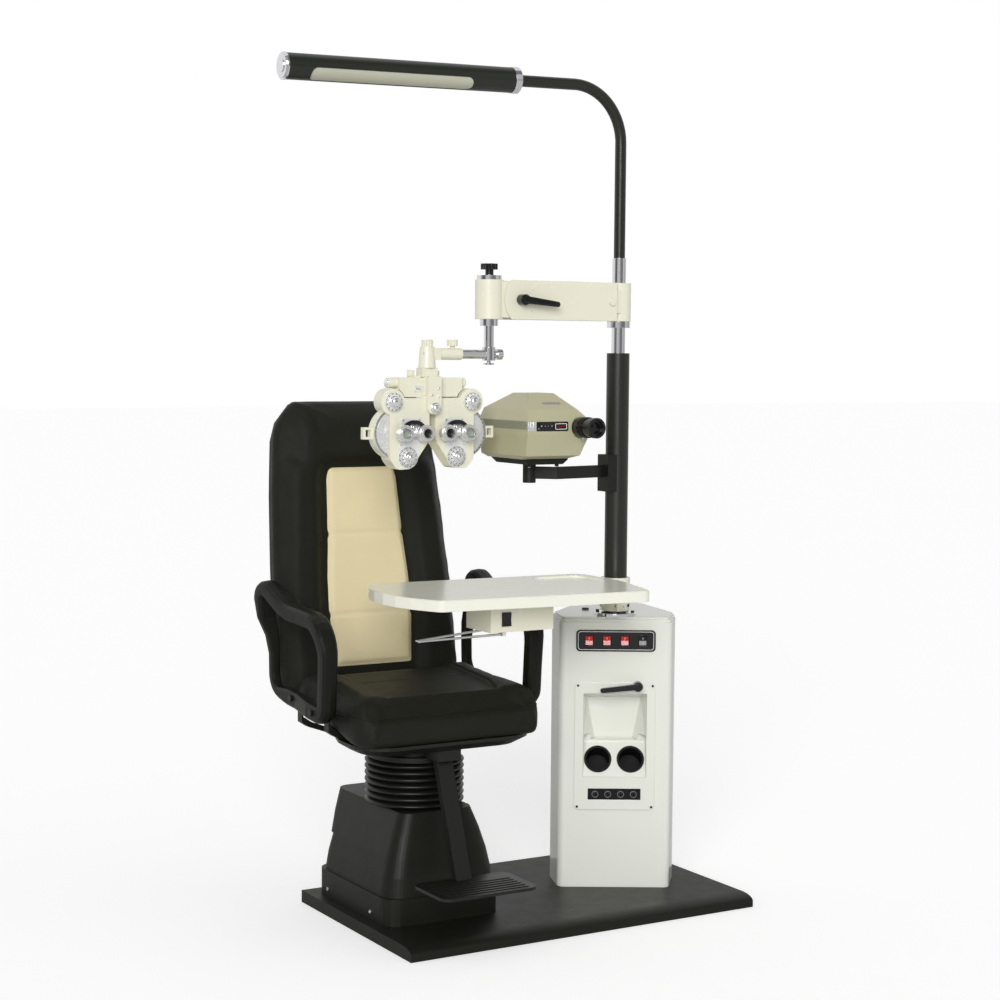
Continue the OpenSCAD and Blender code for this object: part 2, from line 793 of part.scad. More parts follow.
// Moulded pocket: tapered chute over a sloping ledge with two instrument wells
module pocket_hollow(grow) {
    hull() {
        upright([for (p = [[-1, chute_low], [1, chute_low], [1, recess_top], [-1, recess_top]])
            [p[0] * (recess_w / 2 + grow), p[1] + (p[1] > chute_low ? grow : 0)]], face_y - 10, face_y + 4);
        upright([[-48 - grow, chute_low + 8], [48 + grow, chute_low + 8],
            [68 + grow, recess_top - 18 + grow], [-68 - grow, recess_top - 18 + grow]], face_y + 55, face_y + 60 + grow);
    }
    translate([-recess_w / 2 - grow, 0, 0])
        rotate([90, 0, 90])
            linear_extrude(recess_w + 2 * grow)
                polygon([[face_y - 10, recess_low - 1 - grow], [face_y, recess_low - grow],
                    [face_y + ledge_in + grow, chute_low - grow / 2], [face_y + ledge_in + grow, chute_low + 20],
                    [face_y - 10, chute_low + 20]]);
}

module at_well(side) {
    slope = atan2(ledge_in, chute_low - recess_low);
    translate([side * well_x, face_y + ledge_in / 2, (recess_low + chute_low) / 2])
        rotate([90 - slope, 0, 0])
            children();
}

module pocket_panel() {
    wall = 3;
    frame = [for (p = box_outline(-pocket_w / 2, pocket_w / 2, pocket_low, pocket_high, 12)) p];
    color([0.92, 0.92, 0.89])
        at_console()
            difference() {
                union() {
                    upright(frame, face_y - pocket_t, face_y);
                    intersection() {
                        pocket_hollow(wall);
                        translate([-console_w / 2, face_y - 1, pocket_low + 14])
                            cube([console_w, 90, pocket_high - pocket_low - 38]);
                    }
                }
                pocket_hollow(0);
                for (side = [-1, 1])
                    at_well(side)
                        translate([0, 0, -20])
                            cylinder(r = well_r, h = 40);
                translate([lever_x, 0, lever_z])
                    along_y(4, face_y - 20, face_y + 20);
                translate([-66, face_y - 10, pocket_low + 26])
                    cube([132, 30, 28]);
            }
}

// Black pieces of the pocket: two instrument wells and a strip of charging sockets
module pocket_fittings() {
    color([0.05, 0.05, 0.05])
        at_console() {
            for (side = [-1, 1])
                at_well(side)
                    difference() {
                        union() {
                            translate([0, 0, -well_deep])
                                cylinder(r = well_r - 0.2, h = well_deep);
                            cylinder(r = well_r + 2.5, h = 2);
                        }
                        translate([0, 0, -well_deep + 3])
                            cylinder(r = well_r - 3, h = well_deep + 3);
                    }
            difference() {
                translate([-65.5, face_y - 4, pocket_low + 26.5])
                    cube([131, 14, 27]);
                for (x = [-48, -16, 16, 48])
                    translate([x, 0, pocket_low + 40])
                        along_y(9, face_y - 10, face_y + 4);
            }
        }
}

// Switch panel with windows for four rockers
module switch_panel() {
    plate = box_outline(-switch_w / 2, switch_w / 2, switch_z - switch_h / 2, switch_z + switch_h / 2, 10);
    color([0.05, 0.05, 0.05])
        at_console()
            difference() {
                union() {
                    upright(plate, face_y - 3, face_y);
                    for (k = [-1.5, -0.5, 0.5, 1.5])
                        translate([k * rocker_pitch - rocker_w / 2 - 3, face_y - eps, switch_z - rocker_h / 2 - 4.5])
                            cube([rocker_w + 6, 16, rocker_h + 9]);
                }
                for (k = [-1.5, -0.5, 0.5, 1.5])
                    translate([k * rocker_pitch - rocker_w / 2 - slack, face_y - 10, switch_z - rocker_h / 2 - 1.6])
                        cube([rocker_w + 2 * slack, 23, rocker_h + 3.2]);
                for (k = [-1.5, -0.5, 0.5, 1.5])
                    translate([k * rocker_pitch - 12, face_y + 4, switch_z])
                        along_x(1.5 + run, 0, 24);
            }
}

// A rocker: a wedge with a hollow front that tips on a pin
module rocker(w, h) {
    face = [[-h / 2, -7], [0, -4.5], [h / 2, -7], [h / 2 - 1, 2], [2, 6], [-2, 6], [1 - h / 2, 2]];
    translate([-w / 2, 0, 0])
        rotate([90, 0, 90])
            linear_extrude(w)
                polygon([for (p = face) [p[1], p[0]]]);
    along_x(1.5, -w / 2 - 2, w / 2 + 2);
}
module console_rocker(k) {
    at_console()
        translate([k * rocker_pitch, face_y + 4, switch_z])
            rocker(rocker_w, rocker_h);
}
module power_rocker() {
    color([0.85, 0.08, 0.08])
        console_rocker(-1.5);
}
module lamp_rocker() {
    color([0.85, 0.08, 0.08])
        console_rocker(-0.5);
}
module projector_rocker() {
    color([0.85, 0.08, 0.08])
        console_rocker(0.5);
}
module chair_rocker() {
    color([0.04, 0.04, 0.04])
        console_rocker(1.5);
}

// Clamping lever: a hub on a stud and a tapered handle that slopes a little
module clamp_lever(r, length, stand, stud, drop) {
    along_y(stud, -stand, 10);
    along_y(r, -stand - 2, -3);
    hull() {
        translate([0, 0, 0])
            along_y(0.62 * r, -stand - 2, -stand + 10);
        translate([length, 0, -drop])
            along_y(0.5 * r, -stand - 8, -stand);
    }
}
module console_lever() {
    color([0.06, 0.06, 0.06])
        at_console()
            translate([lever_x, face_y, lever_z])
                mirror([1, 0, 0])
                    clamp_lever(12, lever_l, 24, 4 - run, 9);
}

// Dark screws of the flange and of the pocket's frame
module dark_screws() {
    color([0.08, 0.08, 0.08]) {
        at_pole()
            for (k = [0:5])
                rotate([0, 0, 60 * k + 15])
                    translate([45, 0, flange_top])
                        cylinder(r = 4.5, h = 4, $fn = 24);
        at_console()
            for (sx = [-1, 1], z = [pocket_low + 8, pocket_high - 8])
                translate([sx * (pocket_w / 2 - 8), face_y - pocket_t, z])
                    along_y(3, -1.5, 0);
    }
}

module pole_flange() {
    color([0.85, 0.85, 0.87])
        at_pole()
            difference() {
                union() {
                    translate([0, 0, console_top])
                        cylinder(r = flange_r, h = flange_t - 2);
                    translate([0, 0, console_top])
                        cylinder(r = flange_r - 2, h = flange_t);
                }
                translate([0, 0, console_top - 1])
                    cylinder(r = pole_r, h = flange_t + 2);
            }
}

// Black pole, with a reducer at its top that holds the chromed pole
module main_pole() {
    root = console_top - shell_t - 12;
    color([0.08, 0.08, 0.08])
        at_pole()
            difference() {
                translate([0, 0, root])
                    cylinder(r = pole_r, h = pole_top - root);
                translate([0, 0, root - 1])
                    cylinder(r = pole_r - 4, h = pole_h - 180 + 18);
                translate([0, 0, pole_top - 170])
                    cylinder(r = chrome_r, h = 180);
                translate([0, pole_r, cable_start[2]])
                    along_y(6, -10, 10);
            }
}

// Chromed pole with the collar that the arm rests on
module chrome_pole() {
    low = pole_top - 165;
    color([0.85, 0.85, 0.87])
        at_pole()
            difference() {
                union() {
                    translate([0, 0, low])
                        cylinder(r = chrome_r, h = chrome_top - low);
                    translate([0, 0, arm_z - arm_h / 2 - collar_t - 0.1])
                        cylinder(r = chrome_r + 12, h = collar_t);
                }
                translate([0, 0, arm_z - 70])
                    cylinder(r = lamp_r + run, h = 400);
            }
}

// Rubber grommets where the lead leaves the pole and enters the console
module cable_grommets() {
    foot = cable_start + cable_rise[len(cable_rise) - 1];
    color([0.04, 0.04, 0.04])
        at_pole() {
            translate([0, 0, cable_start[2]])
                difference() {
                    union() {
                        along_y(6, pole_r - 4, pole_r + 2);
                        along_y(9, pole_r + 0.5, pole_r + 5);
                    }
                    along_y(cable_r, pole_r - 10, pole_r + 20);
                }
            translate([foot[0], foot[1], 0])
                difference() {
                    union() {
                        translate([0, 0, console_top - shell_t])
                            cylinder(r = 6, h = shell_t + 1);
                        translate([0, 0, console_top])
                            cylinder(r = 9, h = 4);
                    }
                    translate([0, 0, console_top - 20])
                        cylinder(r = cable_r, h = 40);
                }
        }
}

// Mains lead: its free stretch between the two grommets
module cable() {
    route = concat([cable_start - [0, 6, 0]], [for (p = cable_rise) cable_start + p]);
    fine = [for (i = [0:len(route) - 2]) each [for (s = [0, 0.5])
        let (p0 = route[max(0, i - 1)], p1 = route[i], p2 = route[i + 1], p3 = route[min(len(route) - 1, i + 2)])
        0.5 * (2 * p1 + (p2 - p0) * s + (2 * p0 - 5 * p1 + 4 * p2 - p3) * s * s
            + (3 * p1 - p0 - 3 * p2 + p3) * s * s * s)]];
    color([0.03, 0.03, 0.03])
        at_pole()
            swept_tube(concat(fine, [route[len(route) - 1]]), cable_r - 0.05, 8);
}

// Table: sleeve on the pole, channel under the top and the brake's rod
module table_sleeve() {
    channel_w = 70;
    channel_t = 7.5;
    color([0.85, 0.83, 0.74])
        at_pole() {
            difference() {
                union() {
                    translate([0, 0, sleeve_low])
                        cylinder(r = sleeve_r, h = sleeve_top - sleeve_low);
                    translate([box_x - box_l / 2, -channel_w / 2, table_low - channel_t])
                        cube([-box_x + box_l / 2, channel_w, channel_t - 0.1]);
                }
                translate([0, 0, sleeve_low - 1])
                    cylinder(r = pole_r + run, h = 200);
                translate([0, -sleeve_r, sleeve_low + 9])
                    along_y(4.5, -5, 4);
                translate([box_x - box_l / 2 + 8, 4 - channel_w / 2, table_low - channel_t - 1])
                    cube([-box_x + box_l / 2 - 60, channel_w - 8, channel_t - 2]);
            }
            translate([-18, -38.5, sleeve_low + 1])
                cylinder(r = 5, h = table_low - sleeve_low - 1.2);
        }
}

// Table outline: a long board with a bowed far end, seen from above
function table_outline() =
    rounded([for (p = [[0.912, 0.132], [0.084, 0], [0, 0.573], [0.006, 1.051], [0.904, 1.121], [1.062, 0.621]])
        [table_right - p[0] * table_l, table_front + p[1] * table_d]], [22, 24, 400, 34, 30, 320]);
module table_top() {
    color([0.95, 0.95, 0.94])
        at_pole()
            difference() {
                union() {
                    translate([0, 0, table_low])
                        linear_extrude(table_t - 2)
                            polygon(table_outline());
                    translate([0, 0, table_low + 1])
                        linear_extrude(table_t - 1)
                            polygon([for (p = table_outline())
                                [mix(p[0], table_right - table_l / 2, 0.006), mix(p[1], table_front + 0.56 * table_d, 0.01)]]);
                }
                // shallow tray beside the pole
                translate([0, 0, table_top_z - 5])
                    linear_extrude(10)
                        polygon(box_outline(table_right - 178, table_right - 28, table_front + 0.58 * table_d, table_front + 0.96 * table_d, 34));
            }
}

// Control box under the table
module table_box() {
    color([0.87, 0.85, 0.75])
        at_pole()
            difference() {
                translate([box_x, box_y, 0])
                    difference() {
                        translate([-box_l / 2, -box_d / 2, box_low])
                            cube([box_l, box_d, box_h - 0.1]);
                        translate([2 - box_l / 2, 2 - box_d / 2, box_low + 2])
                            cube([box_l - 4, box_d - 4, box_h - 4]);
                    }
                translate([rocker_at_x - 12.6, box_y - box_d / 2 - 5, rocker_at_z - 16.8])
                    cube([25.2, 20, 33.6]);
            }
    // ears and pins of the release handle
    color([0.87, 0.85, 0.75])
        at_pole()
            for (y = [box_y - 36.5, box_y + 47.5])
                translate([handle_x, y, handle_z]) {
                    for (e = [-7, 5])
                        translate([-5, e, -4])
                            cube([10, 2, box_low - handle_z + 4 + eps]);
                    along_y(2, -6, 6);
                }
    color([0.87, 0.85, 0.75])
        at_pole()
            difference() {
                translate([rocker_at_x - 16, box_y - box_d / 2 + 1, rocker_at_z - 20])
                    cube([32, 14, 40]);
                translate([rocker_at_x - 12.6, box_y - box_d / 2 - 5, rocker_at_z - 16.8])
                    cube([25.2, 25, 33.6]);
                translate([rocker_at_x, box_y - box_d / 2 + 4, rocker_at_z])
                    along_x(1.5 + run, -15, 15);
            }
}
rocker_at_x = box_x - box_l / 2 + 42;
rocker_at_z = box_low + 30;
handle_x = box_x - box_l / 2 + 44;
handle_z = box_low - 7;
module table_rocker() {
    color([0.05, 0.05, 0.05])
        at_pole()
            translate([rocker_at_x, box_y - box_d / 2 + 4, rocker_at_z])
                rocker(24, 30);
}

// Release handle: one bent wire that hangs on two eyes under the box
module release_handle() {
    wire = 2.8;
    tip = [handle_x - 232, box_y - 57.5, handle_z];
    front = [handle_x, box_y - 36.5, handle_z];
    rear = [handle_x, box_y + 47.5, handle_z];
    color([0.8, 0.8, 0.82])
        at_pole()
            difference() {
                union() {
                    bar(front, tip, wire);
                    bar(rear, tip + [0, 10, 0], wire);
                    translate(tip)
                        along_y(wire, -2, 12);
                    for (p = [front, rear])
                        translate(p)
                            along_y(5, -4, 4);
                }
                for (p = [front, rear])
                    translate(p)
                        along_y(2 + run, -8, 8);
            }
}

// Arm: block on the pole with a tongue between the arm's cheeks
module pole_block() {
    color([0.87, 0.85, 0.75])
        at_pole()
            difference() {
                union() {
                    translate([0, 0, arm_z - arm_h / 2])
                        cylinder(r = 30, h = arm_h);
                    translate([near_x, 0, arm_z])
                        along_y(28, -28, 28);
                    translate([near_x, -28, arm_z - 28])
                        cube([-near_x, 56, 56]);
                }
                translate([0, 0, arm_z - arm_h])
                    cylinder(r = chrome_r + run, h = 2 * arm_h);
                translate([near_x, 0, arm_z])
                    along_y(6 + run, -40, 40);
            }
}

module arm_beam() {
    h = arm_h / 2;
    left = far_x - 44;
    bow = 18;
    r = (h * h + bow * bow) / (2 * bow);
    a = asin(h / r);
    side = concat(
        [for (p = arc([left + r, 0], r, 180 - a, 180 + a, 12)) [p[0], arm_z + p[1]]],
        [[-27, arm_z - h], [-27, arm_z + h]]);
    color([0.87, 0.85, 0.75])
        at_pole() {
            for (y = [-cheek_in - cheek_t, cheek_in])
                upright(side, y, y + cheek_t);
            for (z = [arm_z - h, arm_z + h - cheek_t])
                translate([far_x + 13, -cheek_in - 1, z])
                    cube([-44 - far_x - 13, 2 * cheek_in + 2, cheek_t]);
            for (x = [near_x, far_x])
                translate([x, 0, arm_z])
                    along_y(6, -cheek_in - 1, cheek_in + 1);
            translate([near_x, 0, arm_z])
                along_y(10, -cheek_in - cheek_t - 4, -cheek_in - 1);
            for (s = [-1, 1])
                translate([far_x + 33, 0, arm_z + s * 26])
                    along_y(3.5, -cheek_in - cheek_t - 1, -cheek_in - 1);
        }
}

module arm_head() {
    color([0.87, 0.85, 0.75])
        at_pole()
            difference() {
                union() {
                    translate([-arm_reach, 0, arm_z - arm_h / 2])
                        cylinder(r = head_r, h = arm_h);
                    translate([far_x, 0, arm_z])
                        along_y(arm_h / 2 - 4, -29, 29);
                    translate([-arm_reach, -29, arm_z - arm_h / 2 + 4])
                        cube([arm_reach + far_x, 58, arm_h - 8]);
                }
                translate([-arm_reach, 0, arm_z - arm_h])
                    cylinder(r = shaft_r + run, h = 2 * arm_h);
                translate([far_x, 0, arm_z])
                    along_y(6 + run, -40, 40);
            }
}

module arm_lever() {
    color([0.05, 0.05, 0.05])
        at_pole()
            translate([far_x, -cheek_in - cheek_t, arm_z]) {
                along_y(13, -22, -0.3);
                hull() {
                    along_y(9, -24, -14);
                    translate([86, 0, -10])
                        along_y(6.5, -30, -22);
                }
            }
}

// Chromed shaft with its cap, nut, cross rod, end knob and button
module phoropter_shaft() {
    color([0.85, 0.85, 0.87])
        at_pole() {
            translate([-arm_reach, 0, rod_z - 14])
                cylinder(r = shaft_r, h = arm_z + arm_h / 2 - rod_z + 14.6);
            difference() {
                translate([-arm_reach, 0, arm_z + arm_h / 2 + 0.1])
                    cylinder(r = head_r - 4, h = 10);
                translate([-arm_reach, 0, arm_z + arm_h / 2 + 1])
                    cylinder(r = 5 + run, h = arm_h);
            }
            translate([-arm_reach, 0, arm_z - arm_h / 2 - 16.1])
                cylinder(r = 22, h = 16);
            translate([-arm_reach, 0, rod_z - 15])
                cylinder(r = 16, h = 32);
            translate([-arm_reach, 0, rod_z - 25])
                cylinder(r = 13, h = 4);
            translate([-arm_reach, 0, rod_z - 22])
                cylinder(r = 5, h = 10);
            translate([0, 0, rod_z])
                along_x(rod_r, rod_end, -arm_reach);
            translate([0, 0, rod_z])
                along_x(13, -arm_reach + 20, -arm_reach + 34);
            translate([0, 0, rod_z])
                along_x(8, -arm_reach, -arm_reach + 22);
        }
}

// Star knob on top of the shaft
module head_knob() {
    z = arm_z + arm_h / 2 + 10.2;
    color([0.05, 0.05, 0.05])
        at_pole()
            translate([-arm_reach, 0, z]) {
                translate([0, 0, -8.5])
                    cylinder(r = 5, h = 12);
                cylinder(r = 10, h = 14);
                translate([0, 0, 14]) {
                    cylinder(r = 15, h = 14);
                    for (k = [0:6])
                        rotate([0, 0, 360 * k / 7])
                            translate([15, 0, 0])
                                cylinder(r = 6, h = 14, $fn = 24);
                }
            }
}

// A ribbed finger knob
module ribbed_knob(r, h, teeth) {
    difference() {
        cylinder(r = r, h = h);
        for (k = [0:teeth - 1])
            rotate([0, 0, 360 * k / teeth])
                translate([r + 0.6, 0, -1])
                    cylinder(r = 1.9, h = h + 2, $fn = 14);
    }
}

module slide_bracket() {
    color([0.87, 0.85, 0.75])
        at_pole()
            difference() {
                union() {
                    translate([0, 0, rod_z])
                        along_x(14, -arm_reach - 150, -arm_reach - 78);
                    translate([ph_x, 0, bracket_low])
                        cylinder(r1 = 21, r2 = 17, h = 50);
                    translate([ph_x, -14, rod_z - 14])
                        cube([30, 28, 28]);
                    translate([ph_x, 0, rod_z + 16.5])
                        ribbed_knob(14, 17, 12);
                    translate([-arm_reach - 100, 0, rod_z + 12])
                        cylinder(r = 6, h = 8);
                    translate([-arm_reach - 100, 0, rod_z + 19])
                        ribbed_knob(13, 15, 12);
                }
                translate([0, 0, rod_z])
                    along_x(rod_r + run, rod_end - 26, -arm_reach);
                translate([ph_x, 0, bracket_low - 1])
                    cylinder(r = 8 + run, h = 20);
            }
}

// Phoropter frame: swivel pin, level bar, two slide housings and the centre panel
module phoropter_frame() {
    color([0.87, 0.85, 0.75])
        at_phoropter()
            difference() {
                union() {
                    translate([0, 0, ph_top - 1])
                        cylinder(r = 8, h = bracket_low - ph_top + 18);
                    translate([-21, -15, ph_top])
                        cube([42, 30, bracket_low - ph_top - 0.2]);
                    upright(rounded([[-18, sight_z + 43], [18, sight_z + 43], [18, ph_top + 1], [-18, ph_top + 1]],
                        [17, 17, 2, 2], 6), head_front - 12, head_front - 0.4);
                    translate([-16, head_front - 1, box_bottom])
                        cube([32, 20 - head_front, ph_top + 1 - box_bottom]);
                    for (side = [-1, 1])
                        translate([side * 49.5 - 34.5, -20, box_bottom])
                            cube([69, 40, box_top - box_bottom]);
                    for (side = [-1, 1])
                        translate([0, 0, box_top - 12])
                            along_x(12, side > 0 ? 83 : -107, side > 0 ? 98 : -83);
                    translate([0, 0, sight_z + 58])
                        along_y(9, head_front - 21, head_front - 11);
                    translate([-44, 0, ph_top + 2])
                        ribbed_knob(9, 14, 9);
                    translate([-50, -6, ph_top - 3])
                        cube([32, 12, 5.5]);
                    for (x = [24, 31])
                        translate([x, 0, ph_top - 3])
                            cylinder(r = 2, h = 17);
                    translate([18, -6, ph_top - 3])
                        cube([16, 12, 4]);
                }
                for (side = [-1, 1]) {
                    translate([side * 49.5 - 28, -4.5, box_bottom - 1])
                        cube([56, 9, 16]);
                    translate([side * (sphere_x - 5), 0, sphere_z])
                        along_y(32, -22, 22);
                }
            }
}

// One phoropter head; side is -1 for the left and 1 for the right
module phoropter_head(side) {
    s = sight_x;
    outline = rounded(
        [[8, head_top], [8, sight_z - 18], [s + 26, sight_z - 84], [s + 62, sight_z - 86], [s + 82, sight_z - 62],
         [s + 82, head_top]],
        [6, 40, 18, 20, 24, 6], 5);
    color([0.88, 0.86, 0.77])
        at_phoropter()
            mirror([side < 0 ? 1 : 0, 0, 0])
                difference() {
                    union() {
                        upright(outline, head_front, head_back);
                        translate([disc_x, 0, sight_z])
                            along_y(disc_r, head_front + 10, head_back - 8);
                        translate([sphere_x, 0, sphere_z])
                            along_y(31, head_front, head_back - 8);
                        translate([disc_x + disc_r - 3, -14, sight_z - 14])
                            cube([27, 14, 28]);
                        translate([49.5 - 19, -4, head_top - 2])
                            cube([38, 8, 16]);
                    }
                    translate([s, 0, sight_z])
                        along_y(13, -60, 60);
                    translate([disc_x + disc_r + 6, -20, sight_z - 8])
                        cube([12, 30, 16]);
                    for (p = [[turret_x, turret_z], [sphere_x, sphere_z], [axis_x, axis_z]])
                        translate([p[0], 0, p[1]])
                            along_y(4 + run, head_front - 1, head_front + 14);
                }
}
module left_head() {
    phoropter_head(-1);
}
module right_head() {
    phoropter_head(1);
}

// Turret of two lens barrels that swaps the lens before the sight
module turret(side) {
    back = head_front - 12;
    color([0.9, 0.9, 0.88])
        at_phoropter()
            translate([side * turret_x, 0, turret_z])
                difference() {
                    union() {
                        along_y(4, head_front - 1, head_front + 12.5);
                        along_y(9, back - 1, head_front - 0.3);
                        for (k = [-1, 1])
                            translate([k * turret_half, 0, -2]) {
                                along_y(17, back - 3, back);
                                along_y(20, back - 16, back - 2.9);
                                along_y(17.5, back - 23, back - 15.9);
                            }
                        translate([-turret_half, back - 3, -10])
                            cube([2 * turret_half, 3, 24]);
                    }
                    for (k = [-1, 1])
                        translate([k * turret_half, 0, -2])
                            along_y(11, back - 40, back + 10);
                }
}
module left_turret() {
    turret(-1);
}
module right_turret() {
    turret(1);
}

// A dial: graduated rim and a finger knob on a pin
module dial(x, z, r, knob) {
    at_phoropter()
        translate([x, 0, z]) {
            along_y(4, head_front - 1, head_front + 12.5);
            along_y(r, head_front - 7, head_front - 0.3);
            along_y(r - 4, head_front - 9, head_front - 6.9);
            along_y(knob, head_front - 20, head_front - 8.9);
        }
}
module left_sphere_dial() {
    color([0.9, 0.9, 0.9])
        dial(-sphere_x, sphere_z, 22, 10);
}
module right_sphere_dial() {
    color([0.9, 0.9, 0.9])
        dial(sphere_x, sphere_z, 22, 10);
}
module left_axis_dial() {
    color([0.9, 0.9, 0.9])
        dial(-axis_x, axis_z, 20, 9);
}
module right_axis_dial() {
    color([0.9, 0.9, 0.9])
        dial(axis_x, axis_z, 20, 9);
}

// Projector: saddle on the pole, cranked bar and post
module projector_bracket() {
    mid = (post_low + post_top) / 2;
    elbow = [-195, -26];
    color([0.06, 0.06, 0.06])
        at_pole()
            difference() {
                union() {
                    translate([-pole_r - 13, -24, mid - 50])
                        cube([30, 48, 92]);
                    hull() {
                        translate([-pole_r - 12, -6, mid - 14])
                            cube([4, 12, 30]);
                        translate([elbow[0], elbow[1], mid - 14])
                            cylinder(r = 6, h = 30, $fn = 24);
                    }
                    hull() {
                        translate([elbow[0], elbow[1], mid - 14])
                            cylinder(r = 6, h = 30, $fn = 24);
                        translate([post_x, post_y, mid - 14])
                            cylinder(r = 6, h = 30, $fn = 24);
                    }
                    translate([post_x, post_y, post_low])
                        cylinder(r = 16, h = post_top - post_low);
                }
                translate([0, 0, mid - 60])
                    cylinder(r = pole_r, h = 120);
                translate([post_x, post_y, post_low + 8])
                    cylinder(r = 8 + run, h = 100);
            }
}

module projector_base() {
    w = 0.34 * projector_w;
    l = 0.36 * projector_l;
    color([0.07, 0.07, 0.07])
        at_projector() {
            translate([0, 0, post_top - 36])
                cylinder(r = 8, h = 38);
            hull() {
                translate([-w + 10, -l + 8, post_top + 0.1])
                    cube([2 * w - 20, 2 * l - 16, 1]);
                translate([-w, -l, proj_low - 2])
                    cube([2 * w, 2 * l, 1.9]);
            }
            for (p = [[-w + 20, -l + 20], [w - 20, -l + 20]])
                translate([p[0], p[1], post_top - 5])
                    cylinder(r = 5, h = 6);
        }
}

// Projector body: a tub that widens to a belt, and a roof that slopes in to a flat top
module slab(x0, x1, y0, y1, z) {
    translate([x0, y0, z])
        cube([x1 - x0, y1 - y0, 0.2]);
}
module projector_shell() {
    w = projector_w / 2;
    f = proj_front;
    b = projector_l + f;
    color([0.72, 0.69, 0.55])
        at_projector()
            difference() {
                union() {
                    hull() {
                        slab(-0.80 * w, 0.66 * w, 0.60 * f, 0.86 * b, proj_low);
                        slab(-0.93 * w, 0.82 * w, 0.86 * f, b, proj_low + 9);
                        slab(-w, w, f, b, belt_low);
                        slab(-w, w, f, b, belt_high);
                        slab(-0.90 * w, 0.72 * w, 0.86 * f, 0.93 * b, proj_mid);
                        slab(-0.45 * w, 0.36 * w, 0.42 * f, 0.15 * b, proj_top);
                    }
                }
                translate([lens_x, 0, lens_z])
                    along_y(lens_r - 3 + run, f - 60, f + 40);
                translate([lens_x, 0, lens_z])
                    along_y(lens_r + 1, f - 60, f + 6);
            }
}

// Lens barrel that turns to focus
module projector_lens() {
    f = proj_front;
    color([0.05, 0.05, 0.05])
        at_projector()
            translate([lens_x, 0, lens_z])
                difference() {
                    union() {
                        along_y(lens_r - 3, f - 20, f + 38);
                        along_y(lens_r, f - 18, f - 1);
                        along_y(lens_r - 2.5, f - 64, f - 17.9);
                        along_y(lens_r - 0.5, f - 71, f - 60);
                    }
                    along_y(lens_r - 6, f - 90, f - 63);
                    along_y(lens_r - 11, f - 64, f - 40);
                }
}

// Lamp: bent rod, tube with a window, and the diffuser in it
module lamp_rod() {
    low = arm_z - 60;
    bend_z = lamp_z - lamp_bend;
    color([0.06, 0.06, 0.06])
        at_pole() {
            translate([0, 0, low])
                cylinder(r = lamp_r, h = bend_z - low);
            translate([-lamp_bend, 0, bend_z])
                rotate([90, 0, 0])
                    rotate_extrude(angle = 90 + lamp_droop, $fn = 128)
                        translate([lamp_bend, 0])
                            circle(r = lamp_r - 0.15, $fn = 48);
        }
    color([0.06, 0.06, 0.06])
        at_lamp()
            along_x(lamp_r, lamp_in - 24, 2 - lamp_bend);
}

lamp_out = lamp_in - 17 - lamp_l;

// Window in the tube's front underside, wider by grow
module lamp_window(grow) {
    rotate([-45, 0, 0])
        translate([0, 0, -lamp_d])
            linear_extrude(lamp_d)
                polygon(box_outline(lamp_out + 56 - grow, lamp_out + 56 + 0.712 * lamp_l + grow, -19 - grow, 19 + grow, 15));
}

module lamp_tube() {
    color([0.06, 0.06, 0.06])
        at_lamp()
            difference() {
                along_x(lamp_d / 2, lamp_out, lamp_in - 17);
                along_x(lamp_r + run, lamp_in - 26, lamp_in + 10);
                along_x(lamp_d / 2 - 4, lamp_out + 20, lamp_in - 40);
                lamp_window(0);
            }
}

// Chromed ring and cap at the tube's ends
module lamp_ends() {
    color([0.85, 0.85, 0.87])
        at_lamp() {
            difference() {
                along_x(lamp_d / 2 + 1.5, lamp_in - 17, lamp_in);
                along_x(lamp_r + run, lamp_in - 26, lamp_in + 10);
            }
            along_x(lamp_d / 2 + 1.5, lamp_out - 4, lamp_out);
            along_x(lamp_d / 2 - 3, lamp_out - 7, lamp_out - 3);
            along_x(lamp_d / 2 - 15, lamp_out - 9, lamp_out - 6);
        }
}

module lamp_diffuser() {
    color([0.97, 0.97, 0.95])
        at_lamp()
            intersection() {
                difference() {
                    along_x(lamp_d / 2 - 1.5, lamp_out + 50, lamp_out + 62 + 0.712 * lamp_l);
                    along_x(lamp_d / 2 - 4, lamp_out, lamp_in);
                }
                lamp_window(-0.2);
            }
}

base_plate();
lift_cylinder();
lift_pump();
base_cover();
bellows();
lift_ram();
seat_frame();
seat_cushion();
back_shell();
back_cushion();
back_insert();
left_armrest();
right_armrest();
arm_bolts();
footrest();
console_frame();
console_shell();
pocket_panel();
pocket_fittings();
switch_panel();
power_rocker();
lamp_rocker();
projector_rocker();
chair_rocker();
console_lever();
dark_screws();
pole_flange();
main_pole();
chrome_pole();
cable_grommets();
cable();
table_sleeve();
table_top();
table_box();
table_rocker();
release_handle();
pole_block();
arm_beam();
arm_head();
arm_lever();
phoropter_shaft();
head_knob();
slide_bracket();
phoropter_frame();
left_head();
right_head();
left_turret();
right_turret();
left_sphere_dial();
right_sphere_dial();
left_axis_dial();
right_axis_dial();
projector_bracket();
projector_base();
projector_shell();
projector_lens();
lamp_rod();
lamp_tube();
lamp_ends();
lamp_diffuser();
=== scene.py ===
"""Looks of the refraction unit: finishes, upholstery, small hardware, studio and camera."""
import json
import logging
import math
from dataclasses import dataclass
from enum import Enum
from typing import Callable, Sequence

import bmesh
import bpy
from mathutils import Matrix, Vector, noise
from mathutils.bvhtree import BVHTree

